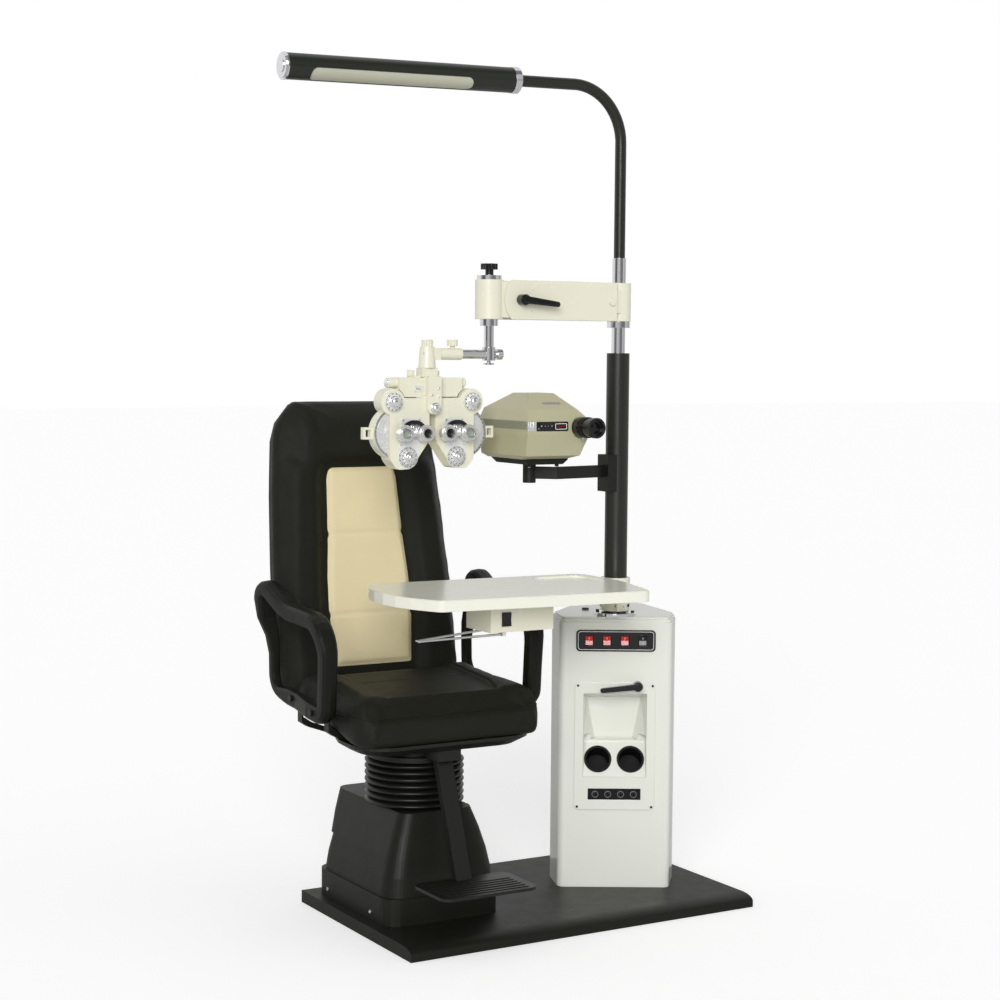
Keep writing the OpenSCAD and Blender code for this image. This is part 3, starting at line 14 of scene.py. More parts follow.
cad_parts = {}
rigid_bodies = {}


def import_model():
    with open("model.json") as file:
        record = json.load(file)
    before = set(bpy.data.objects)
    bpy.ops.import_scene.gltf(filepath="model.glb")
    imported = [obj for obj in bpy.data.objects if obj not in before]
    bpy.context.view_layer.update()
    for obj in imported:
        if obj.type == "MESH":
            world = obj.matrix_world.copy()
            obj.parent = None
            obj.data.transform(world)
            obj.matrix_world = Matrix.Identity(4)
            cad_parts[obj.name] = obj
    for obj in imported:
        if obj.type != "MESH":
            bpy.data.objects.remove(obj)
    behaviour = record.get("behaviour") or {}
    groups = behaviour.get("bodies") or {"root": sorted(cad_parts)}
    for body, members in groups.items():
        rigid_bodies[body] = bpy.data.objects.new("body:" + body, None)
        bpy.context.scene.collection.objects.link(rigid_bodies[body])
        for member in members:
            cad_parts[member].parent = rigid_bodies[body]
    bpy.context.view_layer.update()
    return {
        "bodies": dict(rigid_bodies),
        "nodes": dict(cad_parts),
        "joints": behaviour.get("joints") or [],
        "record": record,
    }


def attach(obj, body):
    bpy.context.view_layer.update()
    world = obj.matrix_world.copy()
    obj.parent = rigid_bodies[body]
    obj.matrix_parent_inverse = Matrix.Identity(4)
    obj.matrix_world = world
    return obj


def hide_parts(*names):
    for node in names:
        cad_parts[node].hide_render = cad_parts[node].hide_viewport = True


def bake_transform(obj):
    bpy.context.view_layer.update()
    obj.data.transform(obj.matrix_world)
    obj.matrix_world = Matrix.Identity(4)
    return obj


LOG = logging.getLogger("refraction_unit")
Point = tuple[float, float, float]
Colour = tuple[float, float, float]
Piece = bpy.types.Object
Socket = bpy.types.NodeSocket
Span = tuple[float, float]
FaceTest = Callable[[bmesh.types.BMFace], bool]

PER_METRE = 1000.0
FRONT = Vector((0, -1, 0))
UP = Vector((0, 0, 1))
# Axis of the chair's lift and of the console's pole in millimetres, and the console's turn in degrees
CHAIR: Point = (-297.0, 42.0, 0.0)
POLE: Point = (244.0, -12.0, 0.0)
CONSOLE_TURN = -30.5


def mm(*values: float) -> Vector:
    """A point given in millimetres, in metres."""
    return Vector([v / PER_METRE for v in values])


def ease(t: float) -> float:
    """A smooth step from 0 to 1."""
    c = max(0.0, min(1.0, t))
    return c * c * (3.0 - 2.0 * c)


def lookup(t: float, table: Sequence[Span]) -> float:
    """Value at t on a broken line of (t, value) pairs."""
    if t <= table[0][0]:
        return table[0][1]
    for (a, va), (b, vb) in zip(table, table[1:]):
        if t <= b:
            return va + (vb - va) * (t - a) / (b - a)
    return table[-1][1]


def shares(count: int) -> list[float]:
    """Evenly spread values from 0 to 1, both included."""
    return [i / count for i in range(count + 1)]


def console_place() -> Matrix:
    """Frame of the console: X along its face, Y into its body, the pole on Z."""
    return Matrix.Translation(mm(*POLE)) @ Matrix.Rotation(math.radians(CONSOLE_TURN), 4, "Z")


def link_new(name: str, data: bpy.types.ID) -> Piece:
    """A new object that holds the data, in the scene."""
    obj = bpy.data.objects.new(name, data)
    bpy.context.scene.collection.objects.link(obj)
    return obj


# ---- finishes

class Grain(Enum):
    """Surface texture of a finish, as cells or waves per metre and a height in metres."""
    NONE = (1.0, 0.0)
    PEEL = (420.0, 0.00003)
    FINE = (1500.0, 0.00006)
    CAST = (260.0, 0.00025)
    LEATHER = (620.0, 0.00022)


class Nodes:
    """A node tree, filled step by step."""

    def __init__(self, tree: bpy.types.NodeTree) -> None:
        """Empties the tree.

        Args:
            tree: node tree of a material or a world.
        """
        self.tree = tree
        tree.nodes.clear()

    def join(self, source: Socket, target: Socket) -> None:
        """Links two sockets."""
        self.tree.links.new(source, target)

    def add(self, kind: str, **inputs: object) -> bpy.types.Node:
        """Adds a node and sets or links its inputs.

        Args:
            kind: node type without its ShaderNode prefix.
            inputs: input name, with _ for a space, to a value or a socket.
        Returns:
            The node.
        """
        node = self.tree.nodes.new("ShaderNode" + kind)
        for key, value in inputs.items():
            self.put(node.inputs[key.replace("_", " ")], value)
        return node

    def put(self, socket: Socket, value: object) -> None:
        """Sets a socket to a number or colour, or links another socket to it."""
        if isinstance(value, Socket):
            self.join(value, socket)
        else:
            socket.default_value = value

    def place(self, offset: Point = (0, 0, 0), scale: Point = (1, 1, 1)) -> Socket:
        """Object coordinates, moved so that offset is the origin, then scaled."""
        source = self.add("TexCoord").outputs["Object"]
        if any(offset):
            source = self.math3("SUBTRACT", source, offset)
        if scale != (1, 1, 1):
            source = self.math3("MULTIPLY", source, scale)
        return source

    def math3(self, operation: str, a: object, b: object) -> Socket:
        """A vector operation on two vectors."""
        node = self.tree.nodes.new("ShaderNodeVectorMath")
        node.operation = operation
        self.put(node.inputs[0], a)
        self.put(node.inputs[1], b)
        return node.outputs["Vector"]

    def math(self, operation: str, a: object, b: object = 0.0, c: object = 0.0) -> Socket:
        """A scalar operation on up to three numbers."""
        node = self.tree.nodes.new("ShaderNodeMath")
        node.operation = operation
        for socket, value in zip(node.inputs, (a, b, c)):
            self.put(socket, value)
        return node.outputs[0]

    def split(self, vector: Socket) -> tuple[Socket, ...]:
        """X, Y and Z of a vector."""
        return tuple(self.add("SeparateXYZ", Vector=vector).outputs)

    def band(self, value: object, low: float, high: float, soft: float = 0.00015) -> Socket:
        """1 where value is between low and high, with a soft edge."""
        up = self.ramp_step(value, low, soft)
        down = self.ramp_step(value, high, soft)
        return self.math("SUBTRACT", up, down)

    def ramp_step(self, value: object, edge: float, soft: float) -> Socket:
        """0 below the edge and 1 above it."""
        node = self.add("MapRange", Value=value, From_Min=edge - soft, From_Max=edge + soft)
        return node.outputs["Result"]

    def blend(self, share: object, a: object, b: object) -> Socket:
        """A colour between a and b."""
        node = self.tree.nodes.new("ShaderNodeMix")
        node.data_type = "RGBA"
        self.put(node.inputs["Factor"], share)
        self.put(node.inputs["A"], rgba(a) if isinstance(a, tuple) else a)
        self.put(node.inputs["B"], rgba(b) if isinstance(b, tuple) else b)
        return node.outputs["Result"]

    def noise(self, vector: Socket, scale: float, detail: float = 3.0, rough: float = 0.55) -> Socket:
        """Fractal noise from 0 to 1."""
        return self.add("TexNoise", Vector=vector, Scale=scale, Detail=detail, Roughness=rough).outputs[0]

    def cells(self, vector: Socket, scale: float) -> Socket:
        """Distance to the edge of cells."""
        node = self.tree.nodes.new("ShaderNodeTexVoronoi")
        node.feature = "DISTANCE_TO_EDGE"
        self.put(node.inputs["Vector"], vector)
        node.inputs["Scale"].default_value = scale
        return node.outputs["Distance"]

    def bump(self, height: object, distance: float, normal: object = None) -> Socket:
        """A normal bumped by a height from 0 to 1 over a distance in metres."""
        node = self.add("Bump", Height=height, Distance=distance, Strength=1.0)
        if normal is not None:
            self.join(normal, node.inputs["Normal"])
        return node.outputs[0]

    def soft_edge(self, radius: float) -> Socket:
        """A normal that rounds sharp edges by a radius in metres."""
        node = self.tree.nodes.new("ShaderNodeBevel")
        node.samples = 4
        node.inputs["Radius"].default_value = radius
        return node.outputs[0]

    def either(self, kind: str, *inputs: object) -> Socket:
        """Adds or mixes shaders, with the inputs in their order."""
        node = self.tree.nodes.new(f"ShaderNode{kind}Shader")
        for socket, value in zip(node.inputs, inputs):
            self.put(socket, value)
        return node.outputs[0]


class Shader(Nodes):
    """One material with a Principled surface."""

    def __init__(self, name: str) -> None:
        """Starts a material with a Principled shader and its output.

        Args:
            name: name of the material.
        """
        self.material = bpy.data.materials.new(name)
        self.material.use_nodes = True
        super().__init__(self.material.node_tree)
        self.output = self.add("OutputMaterial")
        self.surface = self.add("BsdfPrincipled")
        self.join(self.surface.outputs[0], self.output.inputs["Surface"])


def rgba(colour: Sequence[float]) -> tuple[float, float, float, float]:
    """A colour with full alpha."""
    return (colour[0], colour[1], colour[2], 1.0)


def grey(level: float) -> tuple[float, float, float, float]:
    """A neutral colour with full alpha."""
    return rgba((level, level, level))


def principled(material: bpy.types.Material) -> bpy.types.Node:
    """The Principled node of a finished material."""
    return next(n for n in material.node_tree.nodes if n.type == "BSDF_PRINCIPLED")


# Noise of a finish: waves per metre, detail and, where given, roughness
CLOUD = (9.0, 4.0)
SMEAR = (23.0, 5.0, 0.65)
FOLDS = (34.0, 5.0, 0.6)
GRAIN_DETAIL = 2.0
# Share of the roughness at the smoothest and the dullest spots
GLOSSIEST, DULLEST = 0.82, 1.2
# Hide: half width of a pore's edge, depth of the folds in metres, and their stretch
PORE = 0.09
FOLD_DEPTH = 0.0012
FOLD_SCALE = (1.0, 1.0, 1.6)
# Soft edges of a painted mark: as a share of its pitch, of a ring and of a stripe in metres
TICK_BLUR, RING_BLUR, STRIPE_BLUR = 0.03, 0.0001, 0.0004


@dataclass(frozen=True)
class Finish:
    """A surface finish and what makes it look like itself."""
    name: str
    colour: Colour
    roughness: float = 0.4
    metallic: float = 0.0
    grain: Grain = Grain.PEEL
    edge: float = 0.0008
    coat: float = 0.0
    variation: float = 0.05
    specular: float = 0.5

    def tint(self, shader: Shader) -> Socket:
        """Base colour with the slow mottling that real paint, plastic and hide have."""
        cloud = shader.noise(shader.place(), *CLOUD)
        dark = tuple(c * (1.0 - self.variation) for c in self.colour)
        light = tuple(min(1.0, c * (1.0 + self.variation)) for c in self.colour)
        return shader.blend(cloud, dark, light)

    def build(self) -> bpy.types.Material:
        """The finished material."""
        shader = Shader(self.name)
        bsdf = shader.surface
        place = shader.place()
        shader.put(bsdf.inputs["Base Color"], self.tint(shader))
        smear = shader.noise(place, *SMEAR)
        wear = shader.add("MapRange", Value=smear, To_Min=self.roughness * GLOSSIEST,
                          To_Max=min(1.0, self.roughness * DULLEST))
        shader.put(bsdf.inputs["Roughness"], wear.outputs["Result"])
        for key, value in (("Metallic", self.metallic), ("Coat Weight", self.coat),
                           ("Specular IOR Level", self.specular)):
            bsdf.inputs[key].default_value = value
        normal = shader.soft_edge(self.edge)
        scale, depth = self.grain.value
        if self.grain is Grain.LEATHER:
            pore = shader.ramp_step(shader.cells(place, scale), PORE, PORE)
            fold = shader.noise(shader.place(scale=FOLD_SCALE), *FOLDS)
            normal = shader.bump(pore, depth, shader.bump(fold, FOLD_DEPTH, normal))
        elif depth:
            normal = shader.bump(shader.noise(place, scale, GRAIN_DETAIL), depth, normal)
        shader.put(bsdf.inputs["Normal"], normal)
        return shader.material


@dataclass(frozen=True)
class Pane(Finish):
    """A thin clear pane with glossy faces."""
    cover: float = 0.24

    def build(self) -> bpy.types.Material:
        """The base finish, mostly see-through."""
        material = Finish.build(self)
        principled(material).inputs["Alpha"].default_value = self.cover
        return material


@dataclass(frozen=True)
class Dial(Finish):
    """Silver dial with black graduations round a centre, in the X-Z plane.

    Every third mark starts further in, by extra. fine and bold are half widths, as shares of a mark's pitch.
    """
    centre: Point = (0.0, 0.0, 0.0)
    ring: Span = (0.0145, 0.0175)
    marks: int = 36
    ink: Colour = (0.03, 0.03, 0.03)
    extra: float = 0.002
    fine: float = 0.17
    bold: float = 0.10

    def tint(self, shader: Shader) -> Socket:
        """Silver with a ring of fine marks, every third one longer."""
        x, _, z = shader.split(shader.place(offset=self.centre))
        radius = shader.math("SQRT", shader.math("ADD", shader.math("MULTIPLY", x, x),
                                                 shader.math("MULTIPLY", z, z)))
        angle = shader.math("ARCTAN2", z, x)
        result = Finish.tint(self, shader)
        inner, outer = self.ring
        for count, start, width in ((self.marks, inner, self.fine), (self.marks // 3, inner - self.extra, self.bold)):
            turn = shader.math("FRACT", shader.math("MULTIPLY", angle, count / (2 * math.pi)))
            tick = shader.band(turn, 0.5 - width, 0.5 + width, TICK_BLUR)
            mask = shader.math("MULTIPLY", tick, shader.band(radius, start, outer, RING_BLUR))
            result = shader.blend(mask, result, self.ink)
        return result


@dataclass(frozen=True)
class Striped(Finish):
    """Enamel with one painted band between two heights."""
    stripe: Colour = (0.27, 0.28, 0.20)
    low: float = 0.0
    high: float = 0.0
    right: float = 0.0

    def tint(self, shader: Shader) -> Socket:
        """Base colour with the band on the left part of the body."""
        x, _, z = shader.split(shader.place())
        band = shader.band(z, self.low, self.high, STRIPE_BLUR)
        side = shader.math("SUBTRACT", 1.0, shader.ramp_step(x, self.right, STRIPE_BLUR))
        return shader.blend(shader.math("MULTIPLY", band, side), Finish.tint(self, shader), self.stripe)


@dataclass(frozen=True)
class Glow(Finish):
    """A lit display, and a translucent diffuser whose faint glow is painted light that stands in for light shining
    through it.
    """
    strength: float = 0.4

    def build(self) -> bpy.types.Material:
        """The base finish with light of its own."""
        material = Finish.build(self)
        bsdf = principled(material)
        bsdf.inputs["Emission Color"].default_value = rgba(self.colour)
        bsdf.inputs["Emission Strength"].default_value = self.strength
        return material


FINISHES: dict[str, Finish] = {f.name: f for f in (
    Finish("plate_coat", (0.012, 0.013, 0.009), 0.45,
           grain=Grain.CAST, edge=0.0015, variation=0.18, specular=0.2),
    Finish("machined_steel", (0.52, 0.52, 0.53), 0.3, 1.0, Grain.PEEL),
    Finish("pump_enamel", (0.10, 0.10, 0.11), 0.45),
    Finish("cover_moulding", (0.011, 0.012, 0.008), 0.42,
           grain=Grain.FINE, edge=0.002, variation=0.15, specular=0.2),
    Finish("bellows_rubber", (0.006, 0.007, 0.004), 0.36,
           grain=Grain.FINE, edge=0.001, variation=0.2, specular=0.4),
    Finish("black_coat", (0.010, 0.011, 0.008), 0.38, grain=Grain.PEEL, variation=0.1, specular=0.35),
    Finish("pole_coat", (0.014, 0.016, 0.011), 0.30, grain=Grain.PEEL, variation=0.1, specular=0.5),
    Finish("black_hide", (0.009, 0.010, 0.005), 0.45,
           grain=Grain.LEATHER, edge=0.002, variation=0.16, specular=0.2),
    Finish("cream_hide", (0.86, 0.745, 0.46), 0.46,
           grain=Grain.LEATHER, edge=0.002, variation=0.05, specular=0.35),
    Finish("armrest_skin", (0.007, 0.008, 0.005), 0.42,
           grain=Grain.FINE, edge=0.003, variation=0.15, specular=0.2),
    Finish("console_gel", (0.80, 0.81, 0.735), 0.16, grain=Grain.PEEL, edge=0.003, coat=0.3, variation=0.015),
    Finish("table_laminate", (0.90, 0.90, 0.79), 0.24,
           grain=Grain.NONE, edge=0.0015, coat=0.1, variation=0.01),
    Finish("beige_enamel", (0.84, 0.825, 0.665), 0.26,
           grain=Grain.PEEL, edge=0.0012, coat=0.2, variation=0.02),
    Finish("gloss_black", (0.008, 0.008, 0.008), 0.16, grain=Grain.NONE, edge=0.0006, variation=0.1),
    Finish("red_switch", (0.62, 0.015, 0.01), 0.18, grain=Grain.NONE, edge=0.0006, coat=0.3),
    Finish("chrome", (0.78, 0.78, 0.80), 0.07, 1.0, Grain.NONE, edge=0.0006, variation=0.02),
    Finish("lead_rubber", (0.012, 0.012, 0.012), 0.48, grain=Grain.FINE),
    Finish("silver", (0.80, 0.80, 0.79), 0.26, 0.7, Grain.PEEL, edge=0.0005, variation=0.04),
    Finish("white_plate", (0.82, 0.83, 0.80), 0.3, grain=Grain.NONE, edge=0.0004),
    Finish("zinc_dark", (0.12, 0.12, 0.12), 0.35, 0.3, Grain.PEEL, edge=0.0004),
    Finish("zinc", (0.6, 0.6, 0.6), 0.3, 1.0, Grain.PEEL, edge=0.0004),
    Finish("bright_cap", (0.92, 0.92, 0.92), 0.12, 0.85, Grain.NONE, edge=0.0004, variation=0.03),
    Finish("well_moulding", (0.008, 0.008, 0.008), 0.5, grain=Grain.FINE, specular=0.15),
    # Near-black glass is painted shade: the dark inside of a bore or lens tube, seen through clear glass, coloured onto
    # the glass.
    Finish("painted_shade_glass", (0.006, 0.009, 0.007), 0.08, grain=Grain.NONE, variation=0.1, specular=0.4),
    Finish("pale_glass", (0.30, 0.34, 0.28), 0.08, grain=Grain.NONE, coat=1.0),
    Pane("pane", (0.93, 0.94, 0.93), 0.06, grain=Grain.NONE, coat=1.0),
    # The diffuser's faint glow, far below a lit lamp, is painted light for light shining through it.
    Glow("diffuser", (0.52, 0.52, 0.41), 0.5, grain=Grain.NONE, strength=0.04),
    Glow("red_display", (0.16, 0.006, 0.008), 0.2, grain=Grain.NONE, strength=0.05),
)}

FINISH_NODES: dict[str, str] = {
    "plate_coat": "base_plate",
    "machined_steel": "lift_cylinder",
    "pump_enamel": "lift_pump console_frame",
    "cover_moulding": "base_cover back_shell projector_base",
    "bellows_rubber": "bellows",
    "black_coat": "lift_ram seat_frame arm_bolts footrest dark_screws projector_bracket",
    "armrest_skin": "left_armrest right_armrest",
    "console_gel": "console_shell pocket_panel",
    "well_moulding": "pocket_fittings",
    "gloss_black": "switch_panel chair_rocker console_lever table_rocker arm_lever head_knob projector_lens",
    "red_switch": "power_rocker lamp_rocker projector_rocker",
    "chrome": "pole_flange chrome_pole release_handle phoropter_shaft lamp_ends",
    "pole_coat": "main_pole lamp_rod lamp_tube",
    "lead_rubber": "cable_grommets",
    "beige_enamel": (
        "table_sleeve table_box pole_block arm_beam arm_head slide_bracket phoropter_frame "
        "left_head right_head"),
    "table_laminate": "table_top",
    "silver": "left_turret right_turret",
    "diffuser": "lamp_diffuser",
}


class Paintshop:
    """Builds each finish once and puts it on nodes and pieces."""

    def __init__(self) -> None:
        """Starts with no material built."""
        self.built: dict[str, bpy.types.Material] = {}

    def material(self, finish: Finish | str) -> bpy.types.Material:
        """The material of a finish, built on first use."""
        finish = FINISHES[finish] if isinstance(finish, str) else finish
        if finish.name not in self.built:
            self.built[finish.name] = finish.build()
        return self.built[finish.name]

    def coat(self, obj: Piece, finish: Finish | str) -> Piece:
        """Puts a finish on every face of an object.

        Args:
            obj: a CAD node or a new piece.
            finish: a finish or its name.
        Returns:
            The object.
        """
        material = self.material(finish)
        if not obj.material_slots:
            obj.data.materials.append(material)
        for slot in obj.material_slots:
            slot.material = material
        return obj


# ---- modelling bench

# Cap screw: rim and edge as shares of its radius, and depth of its socket as a share of its height
SOCKET_RIM, SCREW_EDGE, SOCKET_DEPTH = 0.45, 0.12, 0.55
# Degrees: edges that a bevel rounds, and those that shading keeps on softened and on turned pieces
BEVEL_ANGLE = 35
SMOOTH_ANGLE = 38
TURNED_ANGLE = 40


class Bench:
    """Modelling steps that every sub-assembly uses."""

    @staticmethod
    def clear() -> None:
        """Leaves edit mode and deselects everything."""
        if bpy.context.object and bpy.context.object.mode != "OBJECT":
            bpy.ops.object.mode_set(mode="OBJECT")
        bpy.ops.object.select_all(action="DESELECT")

    @classmethod
    def focus(cls, obj: Piece) -> None:
        """Makes obj the only selected and active object."""
        cls.clear()
        obj.select_set(True)
        bpy.context.view_layer.objects.active = obj

    @classmethod
    def settle(cls, obj: Piece, name: str) -> Piece:
        """Names an object and moves its place into its mesh."""
        obj.name = obj.data.name = name
        cls.focus(obj)
        bpy.ops.object.transform_apply(location=True, rotation=True, scale=True)
        return obj

    @classmethod
    def rod(cls, name: str, start: Vector, end: Vector, radius: float, sides: int = 48) -> Piece:
        """A round bar between two points."""
        cls.clear()
        axis = end - start
        bpy.ops.mesh.primitive_cone_add(vertices=sides, radius1=radius, radius2=radius,
                                        depth=axis.length, location=(start + end) / 2)
        obj = bpy.context.object
        obj.rotation_mode = "QUATERNION"
        obj.rotation_quaternion = UP.rotation_difference(axis.normalized())
        return cls.settle(obj, name)

    @classmethod
    def pick(cls, obj: Piece, test: FaceTest) -> int:
        """Enters edit mode with only the faces that pass the test selected.

        Args:
            obj: the piece.
            test: true for a face to select.
        Returns:
            How many faces are selected.
        """
        cls.focus(obj)
        bpy.ops.object.mode_set(mode="EDIT")
        bpy.ops.mesh.select_mode(type="FACE")
        bpy.ops.mesh.select_all(action="DESELECT")
        mesh = bmesh.from_edit_mesh(obj.data)
        mesh.faces.ensure_lookup_table()
        count = 0
        for face in mesh.faces:
            face.select_set(test(face))
            count += face.select
        bmesh.update_edit_mesh(obj.data)
        return count

    @classmethod
    def sink(cls, obj: Piece, test: FaceTest, rim: float, shift: Vector) -> None:
        """Insets the picked faces by a rim and extrudes what is inside by a shift."""
        if cls.pick(obj, test):
            bpy.ops.mesh.inset(thickness=rim, depth=0.0)
            bpy.ops.mesh.extrude_region_move(TRANSFORM_OT_translate={"value": shift})
        bpy.ops.object.mode_set(mode="OBJECT")

    @classmethod
    def apply(cls, obj: Piece, kind: str, **settings: object) -> Piece:
        """Adds a modifier with these settings and applies it."""
        cls.focus(obj)
        modifier = obj.modifiers.new(kind.title(), kind)
        for key, value in settings.items():
            setattr(modifier, key, value)
        bpy.ops.object.modifier_apply(modifier=modifier.name)
        return obj

    @classmethod
    def smooth(cls, obj: Piece, angle: float) -> Piece:
        """Smooths the shading over edges flatter than an angle in degrees."""
        cls.focus(obj)
        bpy.ops.object.shade_smooth_by_angle(angle=math.radians(angle))
        return obj

    @classmethod
    def outward(cls) -> None:
        """Turns every face of the piece in edit mode outward and leaves edit mode."""
        bpy.ops.mesh.select_all(action="SELECT")
        bpy.ops.mesh.normals_make_consistent(inside=False)
        bpy.ops.object.mode_set(mode="OBJECT")

    @classmethod
    def soften(cls, obj: Piece, width: float, segments: int = 2) -> Piece:
        """Rounds a piece's edges and smooths its shading."""
        cls.apply(obj, "BEVEL", width=width, segments=segments, limit_method="ANGLE",
                  angle_limit=math.radians(BEVEL_ANGLE))
        return cls.smooth(obj, SMOOTH_ANGLE)

    @classmethod
    def wire(cls, name: str, points: Sequence[Vector], radius: float, closed: bool = False,
             sides: int = 3) -> Piece:
        """A round wire through points, as a mesh."""
        curve = bpy.data.curves.new(name, "CURVE")
        curve.dimensions, curve.use_fill_caps = "3D", True
        curve.bevel_depth, curve.bevel_resolution = radius, sides
        spline = curve.splines.new("POLY")
        spline.points.add(len(points) - 1)
        for target, point in zip(spline.points, points):
            target.co = (*point, 1.0)
        spline.use_cyclic_u = closed
        cls.focus(link_new(name, curve))
        bpy.ops.object.convert(target="MESH")
        obj = bpy.context.object
        obj.name = obj.data.name = name
        bpy.ops.object.shade_smooth()
        return obj

    @classmethod
    def fuse(cls, name: str, pieces: Sequence[Piece]) -> Piece:
        """Joins pieces into one object."""
        cls.clear()
        for piece in pieces:
            piece.select_set(True)
        bpy.context.view_layer.objects.active = pieces[0]
        if len(pieces) > 1:
            bpy.ops.object.join()
        obj = bpy.context.object
        obj.name = obj.data.name = name
        return obj

    @classmethod
    def screw(cls, name: str, seat: Vector, axis: Vector, radius: float, height: float) -> Piece:
        """A cap screw with a hexagon socket, standing on a seat."""
        obj = cls.rod(name, seat, seat + axis * height, radius, 24)
        normal = axis.normalized()
        cls.sink(obj, lambda f: f.normal.dot(normal) > 0.9 and len(f.verts) > 8,
                 radius * SOCKET_RIM, -axis * height * SOCKET_DEPTH)
        return cls.soften(obj, radius * SCREW_EDGE)


# ---- padded forms

# Side of a pad from the top down: share of the height, share of the bulge and share of the draw
SIDE_PROFILE = ((0.8, 0.6, 0), (0.55, 1, 0), (0.25, 0.6, 0), (0.06, 0, 0.5), (0.0, 0, 1))


@dataclass
class Pad:
    """A closed padded form over a plan, with a crowned top and sides that draw in."""
    name: str
    us: Sequence[float]
    vs: Sequence[float]
    plan: Callable[[float, float], float]
    height: Callable[[float, float], float]
    base: float
    bulge: float
    draw: float
    place: Matrix
    lift: Callable[[float, float], float] = lambda x, v: 0.0

    def make(self) -> Piece:
        """Builds the closed mesh.

        Returns:
            The pad, with its place in its mesh.
        """
        n, m = len(self.us), len(self.vs)
        spots = [(self.plan(u, v), v) for v in self.vs for u in self.us]
        top = [Vector((x, v, self.height(x, v))) for x, v in spots]
        rim = ([i for i in range(n)] + [j * n + n - 1 for j in range(1, m)]
               + [(m - 1) * n + i for i in range(n - 2, -1, -1)] + [j * n for j in range(m - 2, 0, -1)])
        mid_v = (self.vs[0] + self.vs[-1]) / 2
        half_v = (self.vs[-1] - self.vs[0]) / 2
        half_u = max(top[e].x for e in rim)
        mesh = bmesh.new()
        verts = [mesh.verts.new(self.place @ (p / PER_METRE)) for p in top]
        loops = [[verts[e] for e in rim]]
        for share, bulge, draw in SIDE_PROFILE:
            grow, row = self.bulge * bulge - self.draw * draw, []
            for p in (top[e] for e in rim):
                foot = self.base + self.lift(p.x, p.y)
                q = Vector((p.x * (1 + grow / half_u), mid_v + (p.y - mid_v) * (1 + grow / half_v),
                            foot + (p.z - foot) * share))
                row.append(mesh.verts.new(self.place @ (q / PER_METRE)))
            loops.append(row)
        for j in range(m - 1):
            for i in range(n - 1):
                a = j * n + i
                mesh.faces.new((verts[a], verts[a + 1], verts[a + n + 1], verts[a + n]))
        k = len(rim)
        for upper, lower in zip(loops, loops[1:]):
            for i in range(k):
                q = (i + 1) % k
                mesh.faces.new((upper[i], lower[i], lower[q], upper[q]))
        hub = mesh.verts.new(self.place @ Vector((0, mid_v / PER_METRE, self.base / PER_METRE)))
        for i in range(k):
            mesh.faces.new((loops[-1][i], hub, loops[-1][(i + 1) % k]))
        bmesh.ops.recalc_face_normals(mesh, faces=mesh.faces)
        data = bpy.data.meshes.new(self.name)
        mesh.to_mesh(data)
        mesh.free()
        return link_new(self.name, data)


# Cloth that fills a pad: solver steps, stiffnesses and frames, then the smoothing of its result
CLOTH_QUALITY = 4
CLOTH_TENSION = 18
CLOTH_BENDING = 1.2
CLOTH_FRAMES = 20
SMOOTHING, SMOOTH_ROUNDS = 0.5, 4


class Upholsterer:
    """Fills and creases the padded pieces."""

    @staticmethod
    def fill(obj: Piece, voxel: float, pressure: float, cap: float, held: Callable[[Vector], bool]) -> None:
        """Swells a pad as cloth under pressure and keeps each point within a cap.

        Args:
            obj: the closed pad.
            voxel: size of the cloth's cells in metres.
            pressure: filling pressure.
            cap: most that a point may move, in metres.
            held: true for a point that stays on its board.
        """
        Bench.apply(obj, "REMESH", mode="VOXEL", voxel_size=voxel)
        rest = [v.co.copy() for v in obj.data.vertices]
        group = obj.vertex_groups.new(name="board")
        group.add([i for i, p in enumerate(rest) if held(p)], 1.0, "REPLACE")
        cloth = obj.modifiers.new("Cloth", "CLOTH")
        settings = cloth.settings
        settings.quality = CLOTH_QUALITY
        settings.use_pressure, settings.uniform_pressure_force = True, pressure
        settings.tension_stiffness = settings.compression_stiffness = CLOTH_TENSION
        settings.bending_stiffness, settings.vertex_group_mass = CLOTH_BENDING, "board"
        settings.effector_weights.gravity = 0.0
        cloth.point_cache.frame_end = CLOTH_FRAMES
        scene = bpy.context.scene
        for frame in range(1, CLOTH_FRAMES + 1):
            scene.frame_set(frame)
        shaped = obj.evaluated_get(bpy.context.evaluated_depsgraph_get()).data
        moved = [v.co.copy() for v in shaped.vertices]
        obj.modifiers.remove(cloth)
        scene.frame_set(1)
        for vertex, a, b in zip(obj.data.vertices, rest, moved):
            step = b - a
            if step.length > cap:
                step *= cap / step.length
            vertex.co = a + step
        obj.vertex_groups.clear()
        Bench.apply(obj, "SMOOTH", factor=SMOOTHING, iterations=SMOOTH_ROUNDS)
        Upholsterer.refine(obj)

    @staticmethod
    def refine(obj: Piece) -> None:
        """Subdivides a pad once and smooths its shading."""
        Bench.apply(obj, "SUBSURF", levels=1, render_levels=1)
        Bench.focus(obj)
        bpy.ops.object.shade_smooth()

    @staticmethod
    def crease(obj: Piece, inverse: Matrix, depth: Callable[[Vector], float], along: Vector) -> None:
        """Sinks the pad along a direction by a depth that depends on the place in the pad's own frame."""
        for vertex in obj.data.vertices:
            amount = depth(inverse @ vertex.co * PER_METRE)
            if amount:
                vertex.co = vertex.co + along * (amount / PER_METRE)


def groove(distance: float, width: float) -> float:
    """Depth of a sewn groove, from 1 in its middle to 0 beyond its width."""
    return math.exp(-(distance / width) ** 2)


# ---- sub-assemblies

# Seat pad: cells each way, and by how many millimetres a pad is smaller before it is filled
SEAT_CELLS = 40
SKIN = 3
# Welt: height over the board in millimetres, then its arc in degrees and its steps
WELT_RISE = 67
WELT_START, WELT_SWEEP, WELT_STEPS = -205, 230, 96
# Welt in metres: its radius, how deep it is sunk, and how far out the rays start that find its course
WELT_RADIUS, WELT_SUNK, CAST_FROM = 0.0021, 0.0004, 0.6
# Heights of the insert's cross seams, as shares of its length
CROSS_SEAMS = (0.26, 0.66)
